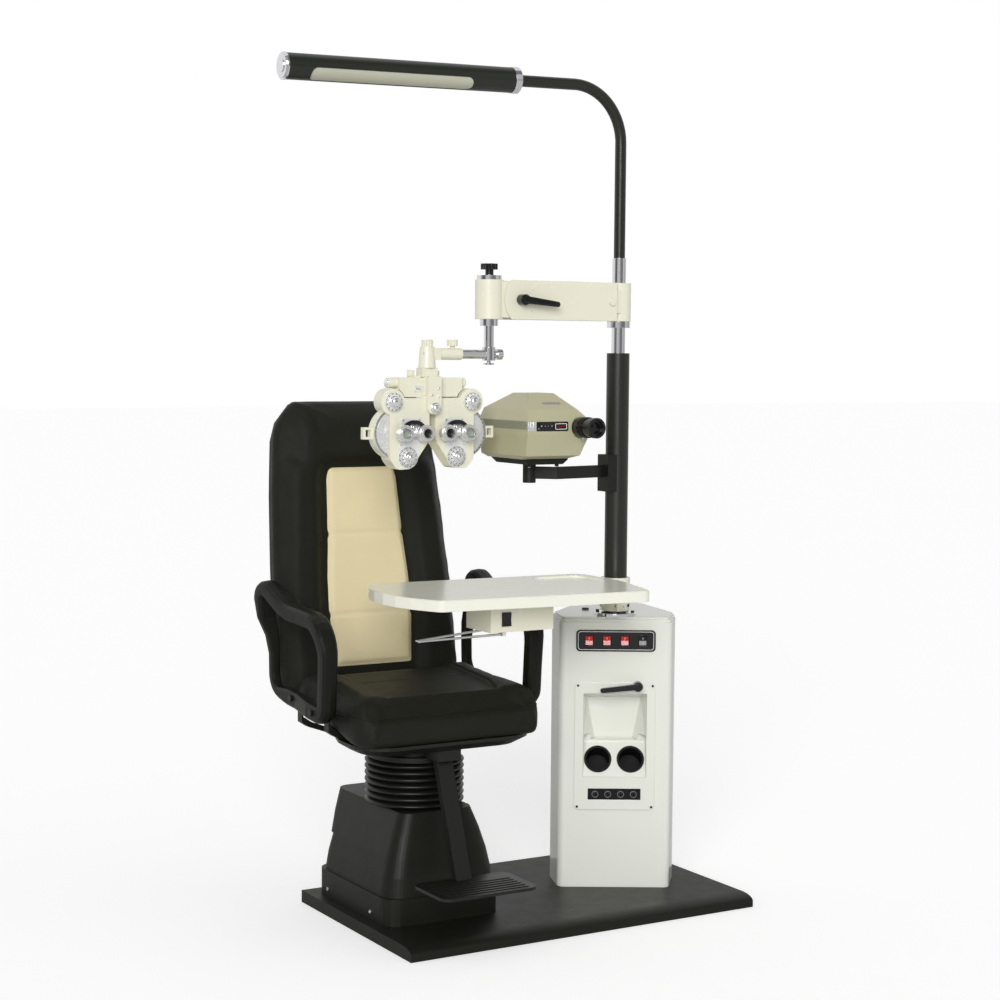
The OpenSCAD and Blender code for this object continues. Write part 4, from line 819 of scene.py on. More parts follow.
# Half widths up the back and up the insert, as shares of the back's half width
BACK_OUTLINE = ((0, 0.94), (0.06, 0.99), (0.2, 1), (0.45, 0.98), (0.7, 0.94), (0.88, 0.89), (1, 0.83))
INSERT_OUTLINE = ((0, 0.431), (0.28, 0.476), (0.45, 0.466), (0.62, 0.436), (0.94, 0.403), (0.975, 0.385), (1, 0.34))
# Seat's plan: share of its depth that a corner takes, and how far front and rear corners draw in
SEAT_CORNER, FRONT_CORNER, REAR_CORNER, SEAT_BOW = 0.16, 0.11, 0.04, 0.015
# Sitting well: its depth in millimetres, and where it ends across, in front and behind, as shares
WELL_DEPTH, WELL_SIDE, WELL_FRONT, WELL_REAR = 9, 0.66, 0.16, 0.97
# Crowns over the boards, the bolsters and the gap round the insert, in millimetres
SEAT_CROWN, BACK_CROWN, BOLSTER, VALLEY = 24, 26, 24, 5
# Back's top corners: the share of its height that they take, and how far they draw in
TOP_CORNER, TOP_DRAW = 0.11, 0.2


@dataclass
class Chair:
    """Seat, backrest and their frame of reference, in millimetres."""
    shop: Paintshop
    axis: Point = CHAIR
    cushion_z: float = 463.0
    seat_front: float = -214.0
    seat_depth: float = 388.0
    seat_half: float = 248.0
    seat_thick: float = 84.0
    side_lift: float = 34.0
    back_y: float = 258.0
    back_z: float = 505.0
    back_high: float = 740.0
    back_half: float = 248.0
    back_thick: float = 80.0
    recline: float = 9.4
    insert_low: float = 74.0
    insert_share: float = 0.777

    def seat_place(self) -> Matrix:
        """Frame of the seat cushion."""
        return Matrix.Translation(mm(self.axis[0], self.axis[1], 0))

    def back_place(self) -> Matrix:
        """Frame of the backrest: X across, Y up the back, Z out of its front."""
        return (Matrix.Translation(mm(self.axis[0], self.axis[1] + self.back_y, self.back_z))
                @ Matrix.Rotation(math.radians(-self.recline), 4, "X") @ Matrix.Rotation(math.radians(90), 4, "X"))

    def seat_plan(self, v: float) -> float:
        """Half width of the seat at a depth."""
        t, r = (v - self.seat_front) / self.seat_depth, SEAT_CORNER
        return self.seat_half * (1 - SEAT_BOW * (2 * t - 1) ** 2 - FRONT_CORNER * max(0.0, 1 - t / r) ** 2
                                 - REAR_CORNER * max(0.0, (t - 1 + r) / r) ** 2)

    def seat_height(self, x: float, v: float) -> float:
        """Top of the seat over a place."""
        u, t = abs(x) / self.seat_half, (v - self.seat_front) / self.seat_depth
        side, front, back = ease((1 - u) / 0.08), ease(t / 0.14), ease((1 - t) / 0.05)
        flat, raised, share = 16 + 34 * t, 20 + 38 * t - 14 * t * t, ease((u - 0.6) / 0.2)
        middle = flat + (raised - flat) * share
        sunk = (WELL_DEPTH * ease((WELL_SIDE - u) / 0.07) * ease((t - WELL_FRONT) / 0.06)
                * ease((WELL_REAR - t) / 0.05))
        return (self.cushion_z + self.seat_thick - SEAT_CROWN
                + (SEAT_CROWN + middle) * min(side, front, back) - sunk)

    def seat_lift(self, x: float, v: float) -> float:
        """How far the underside of the seat rises toward its sides."""
        return (self.side_lift * ease((abs(x) / self.seat_half - 0.6) / 0.38)
                * ease(((v - self.seat_front) / self.seat_depth - 0.1) / 0.45))

    def back_plan(self, v: float) -> float:
        """Half width of the backrest at a height."""
        t, r = v / self.back_high, TOP_CORNER
        return self.back_half * lookup(t, BACK_OUTLINE) * (1 - TOP_DRAW * max(0.0, (t - 1 + r) / r) ** 2)

    def insert_high(self) -> float:
        """Top of the cream insert up the back."""
        return self.insert_share * self.back_high

    def insert_plan(self, v: float) -> float:
        """Half width of the cream insert at a height."""
        t = (v - self.insert_low) / (self.insert_high() - self.insert_low)
        return self.back_half * lookup(t, INSERT_OUTLINE)

    def back_depth(self, x: float, v: float) -> float:
        """Front of the backrest over its board."""
        half, valley, a = self.back_plan(v), self.insert_plan(v) + VALLEY, abs(x)
        t = v / self.back_high
        row = ease((self.insert_high() + 26 - v) / 20)
        run = 0.3 * (half - valley)
        bolster = BOLSTER * ease((a - valley) / run) * ease((half - a) / run)
        crown = BACK_CROWN * ease((1 if a < valley else (half - a) / (half - valley)) / 0.5)
        edge, ends = ease((half - a) / 22), min(ease(t / 0.05), ease((1 - t) / 0.07))
        return self.back_thick - BACK_CROWN + (crown * (1 - row) + bolster * row) * min(edge, ends)

    def build(self) -> None:
        """Upholsters the seat and the backrest."""
        self.seat()
        self.back()
        self.insert()

    def fit(self, obj: Piece, finish: str, node: str) -> None:
        """Coats a pad and puts it in the place of a node of the chair.

        Args:
            obj: the finished pad.
            finish: name of its finish.
            node: the CAD node that it stands for.
        """
        self.shop.coat(obj, finish)
        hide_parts(node)
        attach(obj, "seat")
        LOG.info("%s made", obj.name)

    def seat(self) -> None:
        """Seat cushion with a sunk middle, its seams and the welt round its front."""
        steps = shares(SEAT_CELLS)
        obj = Pad("seat_pad", [2 * s - 1 for s in steps],
                  [self.seat_front + 2 + s * (self.seat_depth - 4) for s in steps],
                  lambda u, v: u * (self.seat_plan(v) - SKIN), lambda x, v: self.seat_height(x, v) - SKIN,
                  base=self.cushion_z + 0.4, bulge=0.5, draw=9.0, place=self.seat_place(), lift=self.seat_lift).make()
        inverse = self.seat_place().inverted()

        def boarded(p: Vector) -> bool:
            """True for the skin that is stapled under the cushion."""
            q = inverse @ p * PER_METRE
            return q.z < self.cushion_z + 14 + self.seat_lift(q.x, q.y)

        Upholsterer.fill(obj, voxel=0.007, pressure=3.0, cap=0.007, held=boarded)

        def depth(p: Vector) -> float:
            """Depth of the seams on the sitting face."""
            u, t = abs(p.x) / self.seat_half, (p.y - self.seat_front) / self.seat_depth
            if p.z < self.cushion_z + 50:
                return 0.0
            line = WELL_SIDE - 0.10 * ease((0.4 - t) / 0.3)
            side = groove((u - line) * self.seat_half, 3.2) * ease((t - WELL_FRONT) / 0.05)
            cross = groove((t - 0.60) * self.seat_depth, 3.0) * ease((line - u) / 0.02)
            return 3.4 * side + 1.6 * cross

        Upholsterer.crease(obj, inverse, depth, -UP)
        self.fit(obj, "black_hide", "seat_cushion")
        welt = self.welt(obj, self.cushion_z + WELT_RISE, "seat_welt")
        self.shop.coat(welt, "black_hide")
        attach(welt, "seat")
        LOG.info("%s made", welt.name)

    def welt(self, obj: Piece, height: float, name: str) -> Piece:
        """Piping that follows the seat's sides at one height."""
        tree = BVHTree.FromObject(obj, bpy.context.evaluated_depsgraph_get())
        centre = mm(self.axis[0], self.axis[1] + self.seat_front + self.seat_depth / 2, height)
        points = []
        for i in range(WELT_STEPS + 1):
            angle = math.radians(WELT_START + WELT_SWEEP * i / WELT_STEPS)
            out = Vector((math.cos(angle), math.sin(angle), 0))
            hit = tree.ray_cast(centre + out * CAST_FROM, -out)[0]
            if hit is not None:
                points.append(hit - out * WELT_SUNK)
        return Bench.wire(name, points, WELT_RADIUS)

    def back(self) -> None:
        """Black part of the backrest: a rounded board with raised sides."""
        us = [s - 1 for s in shares(26)] + shares(14)[1:-1] + [1 + s for s in shares(26)]
        vs = [self.back_high * s for s in shares(64)]
        place = self.back_place()

        def plan(u: float, v: float) -> float:
            """Columns: left side from -1 to 0, middle from 0 to 1, right side from 1 to 2."""
            half, valley = self.back_plan(v) - SKIN, self.insert_plan(v) + VALLEY
            if u < 0:
                return -(valley + (half - valley) * -u)
            if u > 1:
                return valley + (half - valley) * (u - 1)
            return valley * (2 * u - 1)

        obj = Pad("back_pad", us, vs, plan, lambda x, v: self.back_depth(x * 1.012, v) - SKIN,
                  base=0.4, bulge=3.0, draw=11.0, place=place).make()
        inverse = place.inverted()
        Upholsterer.fill(obj, voxel=0.008, pressure=2.5, cap=0.006, held=lambda p: (inverse @ p).z < 0.03)
        self.fit(obj, "black_hide", "back_cushion")

    def insert(self) -> None:
        """Cream insert in three sewn panels with a topstitched border."""
        low, high = self.insert_low, self.insert_high()

        def height(x: float, v: float) -> float:
            """Face of the insert: soft panels between the cross seams."""
            t = (v - low) / (high - low)
            edge = min(self.insert_plan(v) - abs(x), v - low, high - v)
            dip = sum(3.2 * groove((t - s) * (high - low), 4.5) for s in CROSS_SEAMS)
            stitch = 1.1 * groove(edge - 6.5, 1.6)
            wave = 1.4 * noise.noise(Vector((x / 90, v / 60, 3.0)))
            lumbar = 5.0 * groove(t - 0.10, 0.12)
            return (self.back_thick - BACK_CROWN + 2 + 9.5 * ease(edge / 16) - dip - stitch
                    + (wave + lumbar) * ease(edge / 40))

        obj = Pad("back_insert_pad", [2 * s - 1 for s in shares(44)], [low + t * (high - low) for t in shares(90)],
                  lambda u, v: u * self.insert_plan(v), height,
                  base=self.back_thick - 25.6, bulge=0.0, draw=0.5, place=self.back_place()).make()
        Upholsterer.refine(obj)
        self.fit(obj, "cream_hide", "back_insert")


# Knob: greatest rounding, rim and depth of its grooves as shares of its radius. Ring: its edge as a share of its height
KNOB_ROUND, GROOVE_RIM, GROOVE_DEPTH = 0.7, 0.02, 0.07
RING_EDGE = 0.2


class Smith(Bench):
    """Small hardware turned, drilled and cut on the bench."""

    @classmethod
    def slab(cls, name: str, outline: Sequence[Span], back: float, front: float,
             place: Callable[[float, float, float], Vector]) -> Piece:
        """A flat plate whose outline lies in an upright plane.

        Args:
            name: name of the piece.
            outline: points across and up, in millimetres.
            back: depth of the rear face.
            front: depth of the front face.
            place: turns across, depth and up into a place in metres.
        Returns:
            The plate.
        """
        cls.clear()
        bpy.ops.mesh.primitive_circle_add(vertices=len(outline), radius=1.0, fill_type="NGON")
        obj = bpy.context.object
        for vertex, (x, z) in zip(obj.data.vertices, outline):
            vertex.co = place(x, back, z)
        step = place(outline[0][0], front, outline[0][1]) - place(outline[0][0], back, outline[0][1])
        cls.pick(obj, lambda f: True)
        bpy.ops.mesh.extrude_region_move(TRANSFORM_OT_translate={"value": step})
        cls.outward()
        return cls.settle(obj, name)

    @classmethod
    def drill(cls, obj: Piece, start: Vector, end: Vector, radius: float, sides: int = 48) -> Piece:
        """Cuts a round hole from start to end through a piece."""
        cutter = cls.rod("cutter", start, end, radius, sides)
        cls.apply(obj, "BOOLEAN", operation="DIFFERENCE", solver="EXACT", object=cutter)
        bpy.data.objects.remove(cutter, do_unlink=True)
        return obj

    @classmethod
    def knob(cls, name: str, seat: Vector, axis: Vector, radius: float, height: float, dome: float = 0.3,
             ribs: int = 0) -> Piece:
        """A turned knob with a rounded top and, if asked, ribs for the fingers."""
        sides = ribs * 4 if ribs else 48
        obj = cls.rod(name, seat, seat + axis * height, radius, sides)
        if cls.pick(obj, lambda f: f.normal.dot(axis) > 0.95):
            bpy.ops.mesh.bevel(offset=min(radius * KNOB_ROUND, height * dome * 2), segments=5, affect="EDGES",
                               clamp_overlap=True)
        bpy.ops.object.mode_set(mode="OBJECT")
        if ribs:
            middle, side = seat + axis * height / 2, axis.orthogonal().normalized()
            step = 2 * math.pi / sides

            def finger_groove(face: bmesh.types.BMFace) -> bool:
                """True for every fourth upright face round the rim."""
                out = face.calc_center_median() - middle
                angle = math.atan2(out.dot(axis.cross(side)), out.dot(side)) % (2 * math.pi)
                return abs(face.normal.dot(axis)) < 0.1 and int(angle / step + 0.5) % 4 == 0

            if cls.pick(obj, finger_groove):
                bpy.ops.mesh.inset(thickness=radius * GROOVE_RIM, depth=-radius * GROOVE_DEPTH, use_individual=True)
            bpy.ops.object.mode_set(mode="OBJECT")
        return cls.smooth(obj, TURNED_ANGLE)

    @classmethod
    def ring(cls, name: str, seat: Vector, axis: Vector, inner: float, outer: float, height: float) -> Piece:
        """A flat ring that stands on a seat."""
        obj = cls.rod(name, seat, seat + axis * height, outer, 64)
        cls.drill(obj, seat - axis * height, seat + axis * height * 2, inner, 64)
        return cls.soften(obj, height * RING_EDGE)


def on_circle(x: float, z: float, radius: float, degrees: float) -> Span:
    """A point on a circle round (x, z)."""
    angle = math.radians(degrees)
    return (x + radius * math.cos(angle), z + radius * math.sin(angle))


def rounded(left: float, right: float, low: float, high: float, radius: float, steps: int = 5) -> list[Span]:
    """Outline of a rectangle with round corners."""
    corners = ((right - radius, high - radius, 0), (left + radius, high - radius, 90),
               (left + radius, low + radius, 180), (right - radius, low + radius, 270))
    return [on_circle(x, z, radius, a + 90 * i / steps) for x, z, a in corners for i in range(steps + 1)]


@dataclass
class Assembly:
    """A group of pieces measured from one place, with the body that most of them ride on."""
    shop: Paintshop
    origin: Point = (0.0, 0.0, 0.0)
    body: str = "base"

    def at(self, x: float, y: float, z: float) -> Vector:
        """A place given in the assembly's millimetres, in metres."""
        return mm(self.origin[0] + x, self.origin[1] + y, self.origin[2] + z)

    def add(self, obj: Piece, finish: Finish | str, body: str = "") -> None:
        """Coats a piece and lets it ride on a body, or on the assembly's own."""
        self.shop.coat(obj, finish)
        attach(obj, body or self.body)
        LOG.info("%s made", obj.name)


# Finger knobs, a skirt and a dome: depth before the face in millimetres, radius and height in metres, rounding, ribs
POWER_KNOB = ((9.0, 0.0150, 0.004, 0.12, 24), (12.5, 0.0128, 0.0115, 0.42))
AXIS_KNOB = ((9.0, 0.0145, 0.005, 0.15, 20), (13.5, 0.0100, 0.010, 0.40))
CENTRE_KNOB = ((12.1, 0.0135, 0.006, 0.15, 18), (17, 0.0105, 0.009, 0.42))


@dataclass
class Phoropter(Assembly):
    """Plates, lenses, knobs and windows of the two lens heads, measured from their swivel axis."""
    origin: Point = (-297.0, -12.0, 0.0)
    body: str = "phoropter"
    sight: Span = (30.0, 1178.0)
    turret: Span = (57.25, 1180.0)
    barrel_half: float = 27.25
    disc: Span = (88.0, 1178.0)
    sphere: Span = (105.0, 1251.0)
    axis_dial: Span = (65.0, 1121.0)
    face: float = -28.0

    def build(self) -> None:
        """Makes the pieces of both heads and of the middle."""
        for name, side in (("left", -1), ("right", 1)):
            self.keyhole(name, side)
            self.carrier(name, side)
            self.lenses(name, side)
            self.knobs(name, side)
            self.window(name, side)
        self.middle()

    def keyhole(self, name: str, side: int) -> None:
        """White plate behind the barrels and round the lower dial, with its scale and three screws."""
        tx, (ax, az) = self.turret[0], self.axis_dial
        outline = [(tx + 27, 1194), (tx + 27, 1211), (tx + 24, 1214), (tx - 24, 1214), (tx - 27, 1211), (tx - 27, 1194)]
        outline += [on_circle(ax, az, 26, a) for a in range(180, 361, 12)]
        obj = self.plate(f"{name}_scale_plate", side, outline, 0.1, 1.6)
        for (x, z), radius in ((self.turret, 9.6), (self.axis_dial, 20.5), (self.sight, 13.3)):
            Smith.drill(obj, self.at(side * x, self.face + 4, z), self.at(side * x, self.face - 6, z),
                        radius / PER_METRE)
        Smith.soften(obj, 0.0003, 1)
        centre = self.at(side * ax, 0, az)
        self.add(obj, Dial(f"{name}_axis_scale", (0.84, 0.85, 0.83), 0.28, 0.1, Grain.NONE, 0.0003, variation=0.02,
                           centre=(centre.x, centre.y, centre.z), ring=(0.0212, 0.0245), marks=36), f"{name}_eye")
        screws = [Smith.screw("screw", self.at(side * (tx + dx), self.face - 1.6, 1208), FRONT, 0.0024, 0.0016)
                  for dx in (-21, 21)]
        screws.append(Smith.screw("screw", self.at(side * (ax + 19), self.face - 1.6, 1150), FRONT, 0.0018, 0.0014))
        self.add(Smith.fuse(f"{name}_plate_screws", screws), "zinc", f"{name}_eye")

    def plate(self, name: str, side: int, outline: Sequence[Span], back: float, front: float) -> Piece:
        """A flat plate before one head.

        Args:
            name: name of the plate.
            side: -1 for the left head, 1 for the right one.
            outline: points across and up for the right head.
            back: depth of its rear before the head's face.
            front: depth of its front before the head's face.
        Returns:
            The plate.
        """
        return Smith.slab(name, [(side * x, z) for x, z in outline], self.face - back, self.face - front, self.at)

    def carrier(self, name: str, side: int) -> None:
        """Black yoke over the two barrels and its bright centre screw."""
        tx, tz = self.turret[0], self.turret[1] - 8
        arc = range(24, 157, 6)
        outline = [on_circle(tx, tz, 37, a) for a in arc] + [on_circle(tx, tz, 27, a) for a in reversed(arc)]
        obj = self.plate(f"{name}_yoke", side, outline, 13, 20)
        self.add(Smith.soften(obj, 0.0012), "gloss_black", f"{name}_lenses")
        pin = Smith.knob(f"{name}_yoke_screw", self.at(side * tx, self.face - 10, 1191), FRONT, 0.0075, 0.0125, 0.25)
        self.add(pin, "chrome", f"{name}_lenses")

    def lenses(self, name: str, side: int) -> None:
        """Glass in the barrels: near black before the eye, as painted shade of the dark bore behind clear glass, clear
        beside it, with bright retaining rings.
        """
        for label, step, glass in (("inner", -1, "painted_shade_glass"), ("outer", 1, "pale_glass")):
            x, z = self.turret[0] + step * self.barrel_half, self.turret[1] - 2
            spot = f"{name}_{label}"
            lens = Smith.knob(f"{spot}_lens", self.at(side * x, self.face - 26, z), FRONT, 0.0108, 0.0024, 0.4)
            self.add(lens, glass, f"{name}_lenses")
            rim = Smith.ring(f"{spot}_rim", self.at(side * x, self.face - 34.6, z), FRONT, 0.0112, 0.0148, 0.0012)
            self.add(rim, "chrome", f"{name}_lenses")

    def knobs(self, name: str, side: int) -> None:
        """Domed finger knobs of the power dial and the axis dial."""
        for label, body, (x, z), shapes in (("power", "sphere", self.sphere, POWER_KNOB),
                                            ("axis", "axis", self.axis_dial, AXIS_KNOB)):
            self.domed(f"{name}_{label}_knob", side * x, z, shapes, f"{name}_{body}")

    def domed(self, name: str, x: float, z: float, shapes: Sequence[tuple[float, ...]], body: str = "") -> None:
        """A finger knob from a ribbed skirt and a dome.

        Args:
            name: name of the knob.
            x: its place across.
            z: its height.
            shapes: depth before the face and measures of the skirt and the dome.
            body: body that it rides on.
        """
        parts = [Smith.knob(label, self.at(x, self.face - depth, z), FRONT, *shape)
                 for label, (depth, *shape) in zip(("skirt", "dome"), shapes)]
        self.add(Smith.fuse(name, parts), "bright_cap", body)

    def window(self, name: str, side: int) -> None:
        """Silver lens disc under a clear crescent window, with its bright scale rim."""
        x, z = self.disc
        front = self.face + 10
        edge = self.turret[0] + 56.5
        rim = Smith.ring(f"{name}_disc_rim", self.at(side * x, front + 0.2, z), FRONT, 0.0565, 0.0612, 0.0032)
        self.trim(rim, side, edge)
        centre = self.at(side * x, 0, z)
        self.add(rim, Dial(f"{name}_disc_scale", (0.62, 0.63, 0.63), 0.25, 0.75, Grain.NONE, 0.0003, variation=0.04,
                           centre=(centre.x, centre.y, centre.z), ring=(0.0572, 0.0592), marks=120), f"{name}_eye")
        sheet = Smith.rod(f"{name}_lens_disc", self.at(side * x, front + 0.2, z),
                          self.at(side * x, front - 0.8, z), 0.0560, 96)
        self.trim(sheet, side, edge)
        self.add(Smith.soften(sheet, 0.0002, 1), "silver", f"{name}_eye")
        Bench.clear()
        bpy.ops.mesh.primitive_uv_sphere_add(segments=64, ring_count=32, radius=1.0,
                                             location=self.at(side * x, front - 0.9, z))
        dome = bpy.context.object
        dome.scale = (0.0555, 0.0075, 0.0555)
        Bench.settle(dome, f"{name}_window")
        self.cut(dome, self.at(side * x, front - 1.0, z), -FRONT)
        self.trim(dome, side, edge)
        self.add(Bench.smooth(dome, TURNED_ANGLE), "pane", f"{name}_eye")

    def trim(self, obj: Piece, side: int, edge: float) -> None:
        """Keeps the part of a disc that stands out beside the head."""
        self.cut(obj, self.at(side * edge, 0, 0), Vector((-side, 0, 0)))

    @staticmethod
    def cut(obj: Piece, point: Vector, normal: Vector) -> None:
        """Cuts away what lies on the side that the normal points to, and closes the cut."""
        Bench.pick(obj, lambda f: True)
        bpy.ops.mesh.bisect(plane_co=point, plane_no=normal, use_fill=True, clear_outer=True)
        Bench.outward()

    def middle(self) -> None:
        """Centre knob, level window, side knobs and thumb screws of the frame."""
        self.domed("centre_knob", 0, 1236, CENTRE_KNOB)
        frame = Smith.slab("level_frame", rounded(-45, -24, 1274, 1289, 2), -20.1, -21.8, self.at)
        Smith.sink(frame, lambda f: f.normal.dot(FRONT) > 0.9, 0.0026, -FRONT * 0.0012)
        self.add(Smith.soften(frame, 0.0003, 1), "white_plate")
        bead = Smith.rod("level_glass", self.at(-41, -21.0, 1281.5), self.at(-28, -21.0, 1281.5), 0.0024, 24)
        self.add(Smith.soften(bead, 0.0008), "silver")
        front = self.face - 12.1
        small = [Smith.knob("knob", self.at(x, y, z), FRONT, *shape) for x, y, z, *shape in (
            (20, -20.1, 1297, 0.0062, 0.007, 0.3, 12), (9, front, 1283, 0.0035, 0.004, 0.3),
            (-8, front, 1268, 0.0035, 0.004, 0.3), (9, front, 1262, 0.0028, 0.003, 0.3))]
        self.add(Smith.fuse("frame_knobs", small), "bright_cap")
        caps = [Smith.knob("cap", self.at(x, 0, 1295), Vector((way, 0, 0)), 0.0100, 0.003, 0.3, 16)
                for x, way in ((-107.0, -1), (98.0, 1))]
        self.add(Smith.fuse("level_knob_caps", caps), "bright_cap")


@dataclass
class Projector(Assembly):
    """Trim of the chart projector, measured from its own post."""
    origin: Point = (0.0, 8.0, 0.0)
    body: str = "projector"
    half: float = 87.5
    front: float = -135.01
    low: float = 1181.5
    high: float = 1204.0
    lens: Span = (62.0, 1190.0)
    roof_low: Span = (-0.86 * 135, 1232)
    roof_high: Span = (-0.42 * 135, 1270)

    def build(self) -> None:
        """Makes the control strip, the ribbed corner, the bare plate, the lens glass and the small screws."""
        f = self.front
        strip = Smith.slab("control_strip", rounded(-63, 25, self.low, self.high, 1.5), f, f - 1.6, self.at)
        self.add(Smith.soften(strip, 0.0004), "gloss_black")
        loop = [self.at(x, f - 1.9, z) for x, z in rounded(-11, 20, self.low + 4.5, self.high - 5.0, 1.5, 4)]
        self.add(Bench.wire("display_frame", loop, 0.0009, closed=True), "white_plate")
        panel = Smith.slab("display", rounded(-6.5, 15.5, self.low + 8.0, self.high - 8.6, 0.8), f - 1.5, f - 2.05,
                           self.at)
        self.add(Smith.soften(panel, 0.0001, 1), "red_display")
        keys = [Smith.knob("key", self.at(x, f - 1.5, (self.low + self.high) / 2 + dz), FRONT, r, 0.0009, 0.3)
                for x, dz, r in ((-58, -5.5, 0.0016), (-50, 1, 0.0022), (-40, 1, 0.0012), (-32, 1, 0.0012),
                                 (-21, 1, 0.0020))]
        self.add(Smith.fuse("strip_keys", keys), "zinc")
        ribs = [Smith.slab("corner", rounded(-self.half - 0.9, -64, self.low - 0.6, self.high + 0.6, 0.6), f, f - 1.0,
                           self.at)]
        ribs += [Smith.slab("rib", rounded(x, x + 3.6, self.low, self.high, 0.5), f - 0.9, f - 2.1, self.at)
                 for x in (-self.half + 1.0, -self.half + 7.5, -self.half + 14.0)]
        self.add(Smith.soften(Smith.fuse("ribbed_corner", ribs), 0.0003), "silver")
        # The objective glass is near black: painted shade of the dark tube behind the lens.
        glass = Smith.knob("objective_glass", self.at(self.lens[0], f - 50, self.lens[1]), FRONT, 0.0186, 0.006, 0.4)
        self.add(glass, "painted_shade_glass", "projector_focus")
        grip = [Smith.ring("ring", self.at(self.lens[0], f - y, self.lens[1]), FRONT, 0.0220, 0.0252, 0.0022)
                for y in (21, 27, 33)]
        self.add(Smith.fuse("focus_rings", grip), "gloss_black", "projector_focus")
        screw = Smith.knob("lens_screw", self.at(self.lens[0], f - 10, self.lens[1] - 24.6), -UP,
                           0.0032, 0.0075, 0.2, 10)
        self.add(screw, "zinc", "projector_focus")
        feet = [Smith.knob("foot", self.at(x, -64, 1093.6), -UP, 0.0036, 0.0026, 0.3, 10) for x in (-40, 40)]
        self.add(Smith.fuse("level_screws", feet), "zinc")
        self.blank()

    def blank(self) -> None:
        """Bare bright plate on the front slope of the roof."""
        low, high = (Vector((0, *edge)) for edge in (self.roof_low, self.roof_high))
        slope = (high - low).normalized()
        out = Vector((0, -slope.z, slope.y))

        def on_roof(x: float, depth: float, up: float) -> Vector:
            """Across, out of the slope and up the slope, in metres."""
            p = low + slope * up + out * depth
            return self.at(x, p.y, p.z)

        plate = Smith.slab("bare_plate", rounded(-22, 27, 22, 31, 1.0), 0.05, 0.9, on_roof)
        self.add(Smith.soften(plate, 0.0002, 1), "zinc")


@dataclass
class Console(Assembly):
    """Small parts on the console, in its own frame."""
    face: float = -56.0
    switch_z: float = 654.0
    pitch: float = 44.5
    pocket_low: float = 227.0

    def at(self, x: float, y: float, z: float) -> Vector:
        """A place on the console, in metres."""
        return console_place() @ mm(x, y, z)

    def way(self, x: float, y: float, z: float) -> Vector:
        """A direction on the console."""
        return Matrix.Rotation(math.radians(CONSOLE_TURN), 3, "Z") @ Vector((x, y, z))

    def build(self) -> None:
        """Makes the panel's border, the rocker marks, the sockets and the screws of the table's sleeve."""
        out = self.way(0, -1, 0)
        z = self.switch_z
        loop = [self.at(x, self.face - 3.1, u) for x, u in rounded(-94, 94, z - 22.5, z + 22.5, 7, 8)]
        self.add(Bench.wire("panel_border", loop, 0.0008, closed=True), "white_plate")
        rockers = {"power_switch": -1.5, "lamp_switch": -0.5, "projector_switch": 0.5, "chair_switch": 1.5}
        outline = rounded(-10.4, 10.4, -13.6, 13.6, 1.5, 3)
        frames = [Bench.wire("bezel", [self.at(k * self.pitch + x, self.face - 3.2, z + u) for x, u in outline],
                             0.0009, closed=True) for k in rockers.values()]
        self.add(Bench.fuse("rocker_bezels", frames), "gloss_black")
        for body, k in rockers.items():
            self.mark(k * self.pitch, body)
        sockets, up = [], self.pocket_low + 40
        for x in (-48, -16, 16, 48):
            sockets.append(Smith.ring("ring", self.at(x, self.face - 4.0, up), out, 0.0062, 0.0088, 0.0016))
            sockets += [Smith.knob("pin", self.at(x + 3.0 * math.cos(a), self.face + 3.9, up + 3.0 * math.sin(a)),
                                   out, 0.0008, 0.005, 0.3) for a in (0.0, 2.1, 4.2)]
        self.add(Bench.fuse("charging_sockets", sockets), "zinc_dark")
        self.sleeve()

    def mark(self, x: float, body: str) -> None:
        """White on and off marks of one rocker: a short bar above a small ring."""
        face, z = self.face + 4 - 6.6, self.switch_z
        bar = Smith.slab("bar", rounded(x - 0.6, x + 0.6, z + 3.6, z + 8.4, 0.3), face + 1.2, face - 0.25, self.at)
        ring = Smith.ring("ring", self.at(x, face + 1.2, z - 6.0), self.way(0, -1, 0), 0.0016, 0.0024, 0.00145)
        self.add(Bench.fuse(body + "_marks", [bar, ring]), "white_plate", body)

    def sleeve(self) -> None:
        """Set screws round the table's sleeve."""
        screws = []
        for angle in (-118, -62, 25, 150):
            out = Vector((math.cos(math.radians(angle)), math.sin(math.radians(angle)), 0))
            screws.append(Smith.screw("screw", mm(POLE[0], POLE[1], 738) + out * 0.0364, out, 0.0042, 0.0022))
        self.add(Bench.fuse("sleeve_screws", screws), "gloss_black", "table")


@dataclass
class Trimmings(Assembly):
    """Bright screws of the base cover."""
    cover_left: float = -451.0
    cover_right: float = -143.0
    screw_z: float = 50.0

    def build(self) -> None:
        """Makes the cover's screws on both sides."""
        screws = []
        for x, way in ((self.cover_left, -1), (self.cover_right, 1)):
            for y in (-30.2, 200.4):
                out = Vector((way, 0, 0))
                screws.append(Smith.screw("screw", mm(x, y, self.screw_z) - out * 0.0006, out, 0.0052, 0.0026))
        self.add(Bench.fuse("cover_screws", screws), "zinc")


# Gap across the gaiter's rolled seam in metres, shading angle of its ribs in degrees, and its cells
SEAM_GAP, RIB_ANGLE = 0.0002, 50
ROUND_CELLS, RIB_CELLS = 96, 14


